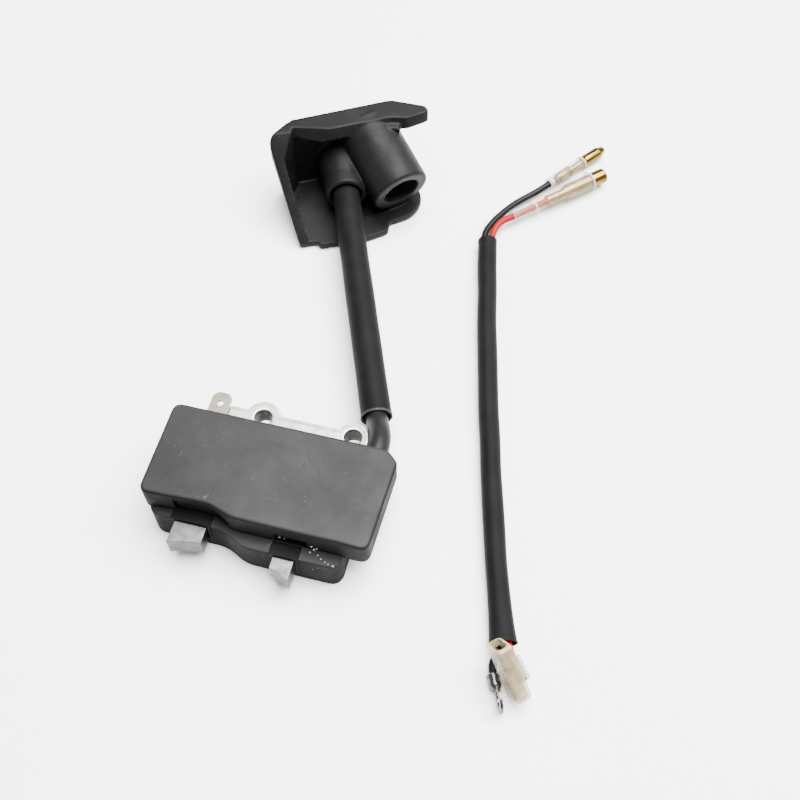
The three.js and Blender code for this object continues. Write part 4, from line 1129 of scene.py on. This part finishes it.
@dataclass
class PlugLead:
    """The plug lead and the sleeve over it."""

    diameter: float = 7.0
    bore: float = 2.1
    exit: Point = (24.0, -7.6, 16.0)
    rest_z: float = 11.0
    bend: float = 19.0
    drop_start: float = -6.9
    end: float = 106.0
    sleeve_outer: float = 9.7
    sleeve_inner: float = 8.6
    sleeve_from: float = -1.2
    sleeve_length: float = 96.7

    def at(self, y: float) -> Point:
        """Return the lead's middle at a depth of the layout, through its turn and its drop."""
        reach = self.bend * math.tan(LEAN / 2)
        corner = LEAD_ORIGIN[1] - (self.exit[0] - LEAD_ORIGIN[0]) / math.tan(LEAN)
        turning = max(0.0, min(y - (corner - reach), 2 * reach))
        straight = max(0.0, y - (corner + reach)) * math.tan(LEAN)
        whole = 2 * math.sqrt(self.bend * (self.exit[2] - self.rest_z))
        fallen = max(0.0, min(y - self.drop_start, whole))
        drop = fallen ** 2 if fallen < whole / 2 else whole ** 2 / 2 - (whole - fallen) ** 2
        x = self.exit[0] - math.tan(LEAN) * turning ** 2 / (4 * reach) - straight
        return (x, y, self.exit[2] - drop / (2 * self.bend))

    def route(self) -> Route:
        """Return the lead's whole line."""
        x, y, z = self.exit
        near = [self.at(d) for d in (-7.6, -5, -2.5, 0, 2.5, 5, 7.5, 10, 12.5)]
        far = [on_lead(0, d, self.rest_z) for d in (8, 14, 25, 40, 60, 80, 95, self.end)]
        return Route(((x, y - 9, z), (x, y - 4, z), *near, *far), 1.2)

    def build(self) -> None:
        route = self.route()
        lead = cord_mesh("lead_jacket", route, self.diameter, self.bore, 36)
        finish_piece(lead, Finish.INSULATION, "lead_insulation", Body.COIL, "high_tension_lead")
        sleeve = self.sleeve()
        finish_piece(sleeve, Finish.SLEEVE, "sleeve_fabric", Body.SLEEVE, "lead_sleeve")
        paint_where(sleeve, Finish.SLEEVE_RIM, self.on_rim)
        route.length() * MM
        route.metres()
        log.info("plug lead: %.1f mm long", route.length())

    def sleeve(self) -> Piece:
        """Make the sleeve, a little flared at its open end and never quite straight."""
        stops = [self.sleeve_from + self.sleeve_length * k / 8 for k in range(9)]
        route = Route(tuple(on_lead(0, d, self.rest_z) for d in stops), 0.8)

        def swell(reach: float, angle: float) -> float:
            """Return how far the sleeve stands out of its round shape."""
            flare = 0.16 * math.exp(-reach / 1.2)
            dent = 0.05 * math.sin(reach * 0.21 + 1) * math.cos(2 * angle + reach * 0.05)
            return flare + dent

        return cord_mesh("lead_braid", route, self.sleeve_outer, self.sleeve_inner, 56, swell)

    def on_rim(self, centre: Vector, normal: Vector) -> bool:
        """Tell whether a face is on the sleeve's cut end by the case."""
        start = Vector(on_lead(0, self.sleeve_from, self.rest_z))
        along = Vector((-math.sin(LEAN), math.cos(LEAN), 0))
        return (centre - start).dot(along) < 0.45


@dataclass
class PlugBoot:
    """The rubber boot: its open cover, the plug tube, the hood round the lead and their webs."""

    height: float = 30.0
    floor: float = 2.6
    flange: float = 4.5
    tube_mouth: Point = (19.6, 89.4, 13.0)
    tube_outward: Point = (0.356, -0.897, -0.263)
    tube_radius: float = 10.6
    bore: Flat = (6.6, 19.0)
    spring_bore: Flat = (4.6, 26.0)
    tube_length: float = 28.0
    hood_start: float = 92.0
    socket_depth: float = 9.0
    lead_end: float = 106.8
    axis_z: float = 11.0
    web: tuple[Flat, ...] = ((17.4, 106.4), (21, 104.9), (22, 110.4), (18.4, 112.4))
    voxel: float = 0.42
    floor_outline: tuple[Corner, ...] = (
        (-18.6, 79, 1), (-12.2, 79.4, 0.5), (-11.1, 77.5, 0.5), (5.3, 78.6, 0), (13.7, 81.2, 1),
        (14.8, 85.2, 1), (23.7, 87.6, 4), (28.4, 94.5, 4), (24.4, 115.5, 1), (-18, 111.5, 2), (-25.3, 105, 2))
    back_outline: tuple[Corner, ...] = (
        (-18, 111.5, 1), (-16.6, 108.6, 1), (19.8, 114.2, 1), (22.4, 113.2, 1), (22.8, 116.6, 1),
        (19.4, 117.9, 1))
    left_outline: tuple[Corner, ...] = (
        (-18.6, 79, 1), (-15.3, 79, 1), (-20.4, 99.9, 1), (-16.4, 107.6, 1), (-17.6, 112, 1),
        (-25.3, 105, 2))
    flange_low: tuple[Corner, ...] = (
        (-17.3, 112.5, 1), (-16.4, 108, 1), (-6, 104.4, 1), (18.5, 108, 1), (23.8, 107.1, 1), (29.6, 109, 1),
        (32.2, 110.1, 1), (31.5, 113.5, 1), (19.4, 118.1, 2))
    flange_high: tuple[Corner, ...] = (
        (-17.3, 112.5, 1), (-16.4, 108.6, 1), (-3.6, 106.2, 1), (18.2, 109.3, 1), (23.8, 108.2, 1),
        (29.6, 109.6, 1),
        (32.2, 110.5, 1), (31.5, 113.5, 1), (19.4, 118.1, 2))
    lean_point: Point = (-18.6, 79.0, 2.6)
    lean_outward: Point = (-0.979, -0.1287, -0.1575)
    behind: tuple[Flat, ...] = ((-17.3, 112.5), (19.4, 118.1), (31.5, 113.5), (60, 102.7), (60, 140),
                                (-60, 140), (-60, 106))

    def tube_point(self, depth: float) -> Point:
        """Return a point of the tube's axis at a depth from its mouth."""
        return ahead(self.tube_mouth, self.tube_outward, -depth)

    def cover(self) -> list[Piece]:
        """Return the open cover's walls."""
        left = Bench.slab("left", rounded(self.left_outline, 4), 0, self.height)
        Bench.trim(left, (0, 79, self.floor), (0, -22.4, 28.5))
        floor = Bench.slab("floor", rounded(self.floor_outline, 5), 0, self.floor)
        for wall in (left, floor):
            Bench.trim(wall, self.lean_point, self.lean_outward)
        return [
            floor, left,
            Bench.slab("back", rounded(self.back_outline, 4), 0, self.height - 1),
            Bench.loft("flange", rounded(self.flange_low, 4), rounded(self.flange_high, 4),
                       self.height - self.flange, self.height),
        ]

    def tube(self) -> Piece:
        """Return the solid tube that goes over the plug."""
        r = self.tube_radius
        obj = Bench.turned("tube", [(r - 0.9, 0), (r - 0.25, 0.25), (r, 0.9), (r, self.tube_length)], 64)
        inward = tuple(-Vector(self.tube_outward))
        obj.data.transform(along_axis(self.tube_mouth, inward, Matrix.Identity(4)))
        return obj

    def hood(self) -> Piece:
        """Return the solid hood that holds the sleeve's end."""
        obj = Bench.turned("hood", [(6.9, 0), (7.4, 0.5), (7.4, 6), (9.6, 21)], 48)
        obj.data.transform(along_axis((0, self.hood_start, self.axis_z), (0, 1, 0), Matrix.Identity(4)))
        return obj

    def build(self) -> None:
        """Join the walls, open the bores, soften the whole and dress it."""
        web = Bench.slab("web", self.web, 8, self.height - 2)
        rib = peg("rib", 1.1, (10.6, 95.5, 19.5), (8, 108, 23.5), 20)
        walls = self.cover()
        body = Bench.unite(walls[0], *walls[1:], self.tube(), self.hood(), web, rib)
        Bench.cut(
            body,
            Bench.block("under", (-60, 40, -20), (60, 140, 0.02)),
            Bench.slab("behind", self.behind, -1, self.height + 1),
            peg("bore", self.bore[0], self.tube_point(-2), self.tube_point(self.bore[1]), 56),
            peg("spring_bore", self.spring_bore[0], self.tube_point(self.bore[1] - 1),
                self.tube_point(self.spring_bore[1]), 40),
            peg("sleeve_socket", 5.5, (0, self.hood_start - 2, self.axis_z),
                (0, self.hood_start + self.socket_depth, self.axis_z), 48),
            peg("lead_way", 3.9, (0, self.hood_start, self.axis_z), (0, self.lead_end, self.axis_z), 32),
        )
        body.name = body.data.name = "rubber_boot"
        Bench.modify(body, "REMESH", mode="VOXEL", voxel_size=self.voxel * MM, use_smooth_shade=True)
        Bench.modify(body, "SMOOTH", factor=0.5, iterations=6)
        Bench.settle(Bench.smooth(body, 55), LEAD_FRAME)
        finish_piece(body, Finish.RUBBER, "boot_rubber", Body.BOOT, "plug_boot")


@dataclass
class StopLead:
    """The woven sleeving and its two wires."""

    sleeving_outer: float = 6.6
    sleeving_inner: float = 5.8
    wire: float = 2.4
    offset: float = 1.35
    height: float = 3.3
    male_start: Point = (54.8, 125.8, 2.7)
    male_along: Point = (0.6, 0.8, 0.0)
    female_start: Point = (44.9, 105.9, 3.8)
    female_along: Point = (0.715, 0.699, 0.0)
    ring_start: Point = (71.7, -59.7, 2.0)
    ring_along: Point = (3.7, -8.8, 0.0)
    line: tuple[Flat, ...] = (
        (38.4, 92.8), (38.9, 90.5), (40.8, 80.6), (42.8, 71.5), (45.2, 58.9), (47.9, 46.8), (50.5, 35.2),
        (53, 24), (55.7, 13.3), (58.1, 2.9), (60.7, -7.2), (63.2, -16.8), (65.6, -26.2), (68.2, -35.3),
        (70.7, -44),
        (72.7, -50.8))

    def beside(self, side: int) -> list[Point]:
        """Return a wire's points inside the sleeving, on one side of its middle."""
        spots = [Vector(p) for p in self.line]
        points = []
        for i, spot in enumerate(spots):
            along = (spots[min(i + 1, len(spots) - 1)] - spots[max(i - 1, 0)]).normalized()
            moved = spot + Vector((-along.y, along.x)) * self.offset * side
            points.append((moved.x, moved.y, self.height))
        return points

    def on_male(self, distance: float) -> Point:
        """Return the point at a distance along the bullet's axis."""
        return ahead(self.male_start, self.male_along, distance)

    def on_female(self, distance: float) -> Point:
        """Return the point at a distance along the socket's axis."""
        return ahead(self.female_start, self.female_along, distance)

    def sleeving_route(self) -> Route:
        """Return the sleeving's line."""
        return Route(tuple((x, y, self.height) for x, y in self.line), 1.0)

    def black_route(self) -> Route:
        """Return the black wire's line, from its bullet to its ring."""
        in_barrel = ahead(self.ring_start, self.ring_along, 2.5)
        return Route((self.on_male(5), self.male_start, self.on_male(-6), (46.9, 116.2, 2.6),
                      (44, 112.4, 2.8), (41, 107.4, 3), (38.5, 102.2, 3.2), (37, 97.3, 3.3),
                      *self.beside(-1), (71.3, -54.8, 2.6), (71, -57.2, 2.1), in_barrel), 1.2)

    def red_route(self) -> Route:
        """Return the red wire's line, from its bullet socket to its flag receptacle."""
        return Route((self.on_female(19), self.on_female(8), self.female_start, self.on_female(-4.5),
                      (39.9, 98.6, 3.6), *self.beside(1), (75.2, -53, 3.5), (77.6, -56.2, 3.8),
                      (80.1, -59.8, 4)), 1.2)

    def build(self, black_ends: Sequence[Piece], red_ends: Sequence[Piece]) -> None:
        """Build and dress the sleeving and the wires, and log their lengths.

        Args:
            black_ends: The pieces on the black wire; not used.
            red_ends: The pieces on the red wire; not used.
        """
        def swell(reach: float, angle: float) -> float:
            """Return how far the weave stands out of its round shape."""
            ends = 0.12 * (math.exp(-reach / 1.0) + math.exp(-(length - reach) / 1.0))
            flat = 0.8 * math.exp(-(length - reach) / 7.0) * math.cos(angle) ** 2
            return ends + flat + 0.05 * math.sin(reach * 0.16) * math.cos(2 * angle + reach * 0.03)

        route = self.sleeving_route()
        length = route.length()
        sleeving = cord_mesh("woven_sleeve", route, self.sleeving_outer, self.sleeving_inner, 56, swell)
        finish_piece(sleeving, Finish.WOVEN, "woven_sleeving", Body.STOP_LEAD, "stop_lead_sleeving")
        route.metres()
        black, red = self.black_route(), self.red_route()
        for name, path, finish, slot, node, ends in (
                ("black_core_wire", black, Finish.BLACK_WIRE, "black_pvc", "black_wire", black_ends),
                ("red_core_wire", red, Finish.RED_WIRE, "red_pvc", "red_wire", red_ends)):
            obj = cord_mesh(name, path, self.wire, 0, 24)
            finish_piece(obj, finish, slot, Body.STOP_LEAD, node)
            path.length() * MM
            path.metres()
            log.info("%s: %.1f mm long", name, path.length())
        log.info("sleeving: %.1f mm long", length)


@dataclass
class Bullets:
    """The bullet, the bullet socket and their clear covers."""

    lead: StopLead

    def male(self) -> Piece:
        """Turn the bullet with its crimp, its groove and its slit nose."""
        profile = [(1.4, 6.3), (1.4, 4.4), (1.62, 4.3), (1.85, 4.7), (1.85, 8.9), (1.5, 9.4), (1.5, 10.1),
                   (2.02, 10.2), (2.02, 10.8), (1.4, 10.95), (1.3, 13), (1.35, 16.5), (1.8, 17.0),
                   (2.2, 17.5), (2.2, 18.1),
                   (2.1, 18.3), (2.2, 18.6), (2.2, 25.0), (2.02, 25.4), (1.45, 27.7), (1.15, 28.0),
                   (0.75, 28.0), (0.7, 26.8)]
        obj = Bench.turned("bullet", profile, 48)
        Bench.cut(obj, Bench.block("slit", (-0.14, 0, 17.3), (0.14, 3, 29)))
        for x, y in arc((0, 0), 2.25, 30, 330, 5):
            Bench.cut(obj, peg("flute", 0.55, (x, y, 5.2), (x, y, 8.4), 16))
        matrix = along_axis(self.lead.male_start, self.lead.male_along)
        Bench.settle(Bench.smooth(obj, 35), matrix)
        return finish_piece(obj, Finish.BRASS, "bullet_brass", Body.STOP_LEAD, "male_bullet")

    def male_cover(self) -> Piece:
        """Turn the bullet's clear cover."""
        profile = [(1.4, 0), (1.75, 0), (1.95, 0.2), (1.95, 1.1), (2.05, 1.3), (2.5, 2.4), (2.6, 16.9),
                   (2.5, 17.3), (2.25, 17.3), (2.2, 16.8), (2.12, 2.7), (1.4, 2.3)]
        obj = Bench.turned("bullet_sleeve", profile, 40, True)
        Bench.settle(Bench.smooth(obj, 45), along_axis(self.lead.male_start, self.lead.male_along))
        finish_piece(obj, Finish.CLEAR, "clear_vinyl", Body.MALE_COVER, "male_bullet_cover")
        self.rims(obj, self.lead.male_start, self.lead.male_along, ((-1, 1.2), (16.9, 18)))
        return obj

    @staticmethod
    def rims(obj: Piece, start: Point, along: Point, bands: Sequence[Flat]) -> None:
        """Whiten a cover's edges within bands of distance along it."""
        axis, zero = Vector(along).normalized(), Vector(start)
        paint_where(obj, Finish.RIM, lambda c, n: any(a < (c - zero).dot(axis) < b for a, b in bands))

    def female(self) -> Piece:
        """Turn the socket with its crimp and its rolled seam."""
        profile = [(1.4, 19.5), (1.4, 15.2), (1.9, 15.0), (1.95, 15.4), (1.9, 21.8), (2.3, 22.6), (2.75, 24),
                   (2.75, 39.9), (2.6, 40.35), (2.4, 40.4), (2.2, 40.1), (2.2, 26)]
        obj = Bench.turned("socket", profile, 48)
        Bench.cut(obj, Bench.block("seam", (-0.18, 0, 33), (0.18, 3.2, 41)))
        Bench.cut(obj, Bench.block("root_slot", (-1.3, 1.2, 27.0), (1.3, 3.2, 29.5)))
        matrix = along_axis(self.lead.female_start, self.lead.female_along)
        Bench.settle(Bench.smooth(obj, 35), matrix @ Matrix.Rotation(math.radians(150), 4, "Z"))
        return finish_piece(obj, Finish.BRASS, "bullet_brass", Body.STOP_LEAD, "female_bullet")

    def female_cover(self) -> Piece:
        """Turn the socket's clear cover."""
        profile = [(1.45, 0), (1.9, 0), (2.2, 0.25), (2.2, 8.9), (2.35, 9.1), (2.35, 9.7), (2.2, 9.9),
                   (2.9, 12.2),
                   (3.45, 15), (3.7, 18), (3.7, 34.1), (3.55, 34.5), (3.25, 34.5), (3.1, 34.1), (3.08, 18.2),
                   (2.2, 15.4), (2.2, 12.4), (1.45, 11)]
        obj = Bench.turned("socket_sleeve", profile, 44, True)
        Bench.settle(Bench.smooth(obj, 45), along_axis(self.lead.female_start, self.lead.female_along))
        finish_piece(obj, Finish.MILKY, "clear_vinyl", Body.FEMALE_COVER, "female_bullet_cover")
        self.rims(obj, self.lead.female_start, self.lead.female_along, ((-1, 0.6), (9.0, 9.8), (34.1, 36)))
        return obj

    def build(self) -> tuple[list[Piece], list[Piece]]:
        """Build all four pieces and return those on the black and on the red wire."""
        return [self.male(), self.male_cover()], [self.female(), self.female_cover()]


@dataclass
class TabTerminals:
    """The ring terminal, the flag receptacle and its yellowed cover."""

    lead: StopLead
    flag_end: Point = (80.2, -64.4, 3.2)
    flag_mouth: Point = (71.2, -55.2, 14.4)
    thick: float = 5.0
    wide: float = 8.4
    wall: float = 0.8
    arm_start: Point = (76.1, -54.4, 3.6)
    arm_end: Point = (80.1, -59.8, 4.0)

    def flag_frame(self) -> Matrix:
        """Return the matrix from the flag's own layout, thin in X, wide in Y and long in Z, to the coil's."""
        along = (Vector(self.flag_mouth) - Vector(self.flag_end)).normalized()
        wide = (Vector((0, 0, 1)) - along * along.z).normalized()
        thin = wide.cross(along)
        turn = Matrix((thin, wide, along)).transposed().to_4x4()
        return Matrix.Translation(Vector(self.flag_end) * MM) @ turn

    def box_outline(self, margin: float) -> list[Flat]:
        """Return the cover's rounded section, moved inwards by a margin."""
        x, y = self.thick / 2 - margin, self.wide / 2 - margin
        r = min(x, 1.9)
        return rounded([(-x, -y, r), (x, -y, r), (x, y, r), (-x, y, r)], 6)

    def cover(self) -> Piece:
        """Mould the flag's cover with its arm for the wire."""
        frame_of_flag = self.flag_frame()
        length = (Vector(self.flag_mouth) - Vector(self.flag_end)).length
        shell = Bench.slab("flag_hood", self.box_outline(0), 0, length)
        Bench.bevel(shell, 0.9, 4, 40)
        inverse = frame_of_flag.inverted()
        start, end = ((inverse @ (Vector(p) * MM)) / MM for p in (self.arm_start, self.arm_end))
        before = start + (start - end).normalized()
        beyond = end + (end - start).normalized() * 0.6
        Bench.unite(shell, peg("arm", 2.25, tuple(start), tuple(end), 32))
        Bench.cut(shell, Bench.slab("room", self.box_outline(self.wall), self.wall, length + 1),
                  peg("way", 1.4, tuple(before), tuple(beyond), 24))
        Bench.settle(Bench.smooth(shell, 40), COIL_FRAME @ frame_of_flag)
        finish_piece(shell, Finish.YELLOWED, "yellowed_vinyl", Body.STOP_LEAD, "flag_cover")
        mouth, axis = Vector(self.flag_mouth), (Vector(self.flag_mouth) - Vector(self.flag_end)).normalized()
        paint_where(shell, Finish.YELLOW_RIM, lambda c, n: (c - mouth).dot(axis) > -0.95)
        return shell

    def receptacle(self) -> Piece:
        """Fold the receptacle: a floor with two rolled sides and a crimp tongue."""
        length = (Vector(self.flag_mouth) - Vector(self.flag_end)).length
        x, y = self.thick / 2 - self.wall - 0.35, self.wide / 2 - self.wall - 0.35
        roll = 0.95
        upper = arc((-x + roll + 0.2, y - roll - 0.2), roll, 180, -70, 12)
        lower = [(px, -py) for px, py in upper][::-1]
        path = [*lower, *upper]
        body = Bench.slab("flag_clip", ribbon(path, 0.4), length - 9, length - 1.6)
        tongue = Bench.block("tongue", (-x, -1.2, length - 13), (-x + 0.4, 1.2, length - 8.9))
        Bench.unite(body, tongue)
        Bench.bevel(body, 0.06, 1, 40)
        Bench.settle(Bench.smooth(body, 35), COIL_FRAME @ self.flag_frame())
        return finish_piece(body, Finish.DULL_TIN, "tinned_brass", Body.STOP_LEAD, "flag_receptacle")

    def ring(self) -> Piece:
        """Stamp the ring terminal, which stands on its edge, and roll its crimp barrel."""
        along = Vector(self.lead.ring_along).normalized()
        side = Vector((-along.y, along.x, 0))
        start = Vector(self.lead.ring_start)
        profile = [(1.4, 2.8), (1.4, 0), (1.7, -0.1), (1.95, 0.15), (1.95, 1.0), (1.7, 1.9), (1.95, 2.8),
                   (1.8, 3.6), (1.1, 4.4)]
        barrel = Bench.turned("ring_lug", profile, 32)
        barrel.data.transform(along_axis(tuple(start), tuple(along), Matrix.Identity(4)))
        centre = start + along * 7.6
        centre.z = 4.0
        disc = peg("disc", 4.0, tuple(centre - side * 0.4), tuple(centre + side * 0.4), 48)
        Bench.bevel(disc, 0.12, 2, 40)
        Bench.unite(barrel, disc)
        Bench.cut(barrel, peg("eye", 2.15, tuple(centre - side * 2), tuple(centre + side * 2), 40))
        Bench.settle(Bench.smooth(barrel, 32))
        return finish_piece(barrel, Finish.BRIGHT_TIN, "tinned_brass", Body.STOP_LEAD, "ring_terminal")

    def build(self) -> tuple[list[Piece], list[Piece]]:
        """Build the three pieces and return those on the black and on the red wire."""
        return [self.ring()], [self.cover(), self.receptacle()]


@dataclass
class Insides:
    """The pieces inside the case and the boot, kept as they are and dressed."""

    finishes: dict[str, Finish] = field(default_factory=lambda: {
        "potting_resin": Finish.RESIN,
        "primary_bobbin": Finish.BOBBIN,
        "secondary_bobbin": Finish.BOBBIN,
        "primary_winding": Finish.WINDING,
        **{f"secondary_winding_{k}": Finish.WINDING for k in range(1, 5)},
        "circuit_board": Finish.LAMINATE,
        "switching_transistor": Finish.COMPONENT,
        "trigger_capacitor": Finish.CAPACITOR,
        "gate_resistor": Finish.COMPONENT,
        "clamp_diode": Finish.COMPONENT,
        "earth_strap": Finish.TIN,
        "high_tension_pin": Finish.TIN,
        "lead_conductor": Finish.COPPER,
        "plug_contact_spring": Finish.SPRING,
    })

    def dress(self) -> None:
        """Give every kept piece its finish."""
        for name, finish in self.finishes.items():
            dress(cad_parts[name], finish)
            log.info("%s: dressed in %s", name, finish.value.name)


@dataclass
class Studio:
    """The camera, the pale table and the soft lights."""

    place: Point = (0.07321, -0.18945, 0.2935)
    heading: Flat = (-0.245, 0.969)
    dip: float = 58.5
    lens: float = 47.25
    room_light: float = 0.85
    lamps: tuple[tuple[str, Point, float, float], ...] = (
        ("overhead", (0.25, 0.25, 1.15), 1.1, 125.0), ("side", (0.9, 0.5, 0.7), 0.6, 6.0))

    def camera(self) -> None:
        """Set up the camera over the table."""
        data = bpy.data.cameras.new("camera")
        data.lens, data.sensor_width = self.lens, 36
        data.clip_start, data.clip_end = 0.01, 20
        obj = bpy.data.objects.new("camera", data)
        bpy.context.scene.collection.objects.link(obj)
        dip = math.radians(self.dip)
        flat = Vector((*self.heading, 0)).normalized() * math.cos(dip)
        obj.location = self.place
        obj.rotation_mode = "QUATERNION"
        obj.rotation_quaternion = Vector((flat.x, flat.y, -math.sin(dip))).to_track_quat("-Z", "Y")
        bpy.context.scene.camera = obj

    def table(self) -> None:
        """Lay the pale table."""
        Bench.clear()
        bpy.ops.mesh.primitive_plane_add(size=6, location=(0, 0, -0.0001))
        obj = bpy.context.object
        obj.name = "table"
        obj.data.materials.append(TABLE_TOP.make())

    def lights(self) -> None:
        """Hang one large soft light over the table and brighten the room."""
        for name, spot, size, energy in self.lamps:
            data = bpy.data.lights.new(name, "AREA")
            data.shape, data.size, data.energy = "SQUARE", size, energy
            obj = bpy.data.objects.new(name, data)
            bpy.context.scene.collection.objects.link(obj)
            obj.location = spot
            obj.rotation_mode = "QUATERNION"
            obj.rotation_quaternion = (Vector((0.02, 0.0, 0.0)) - Vector(spot)).to_track_quat("-Z", "Y")
        world = bpy.context.scene.world or bpy.data.worlds.new("room")
        bpy.context.scene.world = world
        world.use_nodes = True
        back = world.node_tree.nodes["Background"]
        back.inputs["Color"].default_value = (1, 1, 1, 1)
        back.inputs["Strength"].default_value = self.room_light

    def build(self) -> None:
        """Set up the camera, the table and the lights."""
        self.camera()
        self.table()
        self.lights()


def main() -> None:
    """Build every sub-assembly in order."""
    Studio().build()
    PlugLead().build()
    stop_lead = StopLead()
    bullets = Bullets(stop_lead).build()
    tabs = TabTerminals(stop_lead).build()
    stop_lead.build(bullets[0] + tabs[0], bullets[1] + tabs[1])
    core = Core()
    core.build()
    CoilCase(core).build()
    PlugBoot().build()
    Insides().dress()


if __name__ == "__main__":
    main()
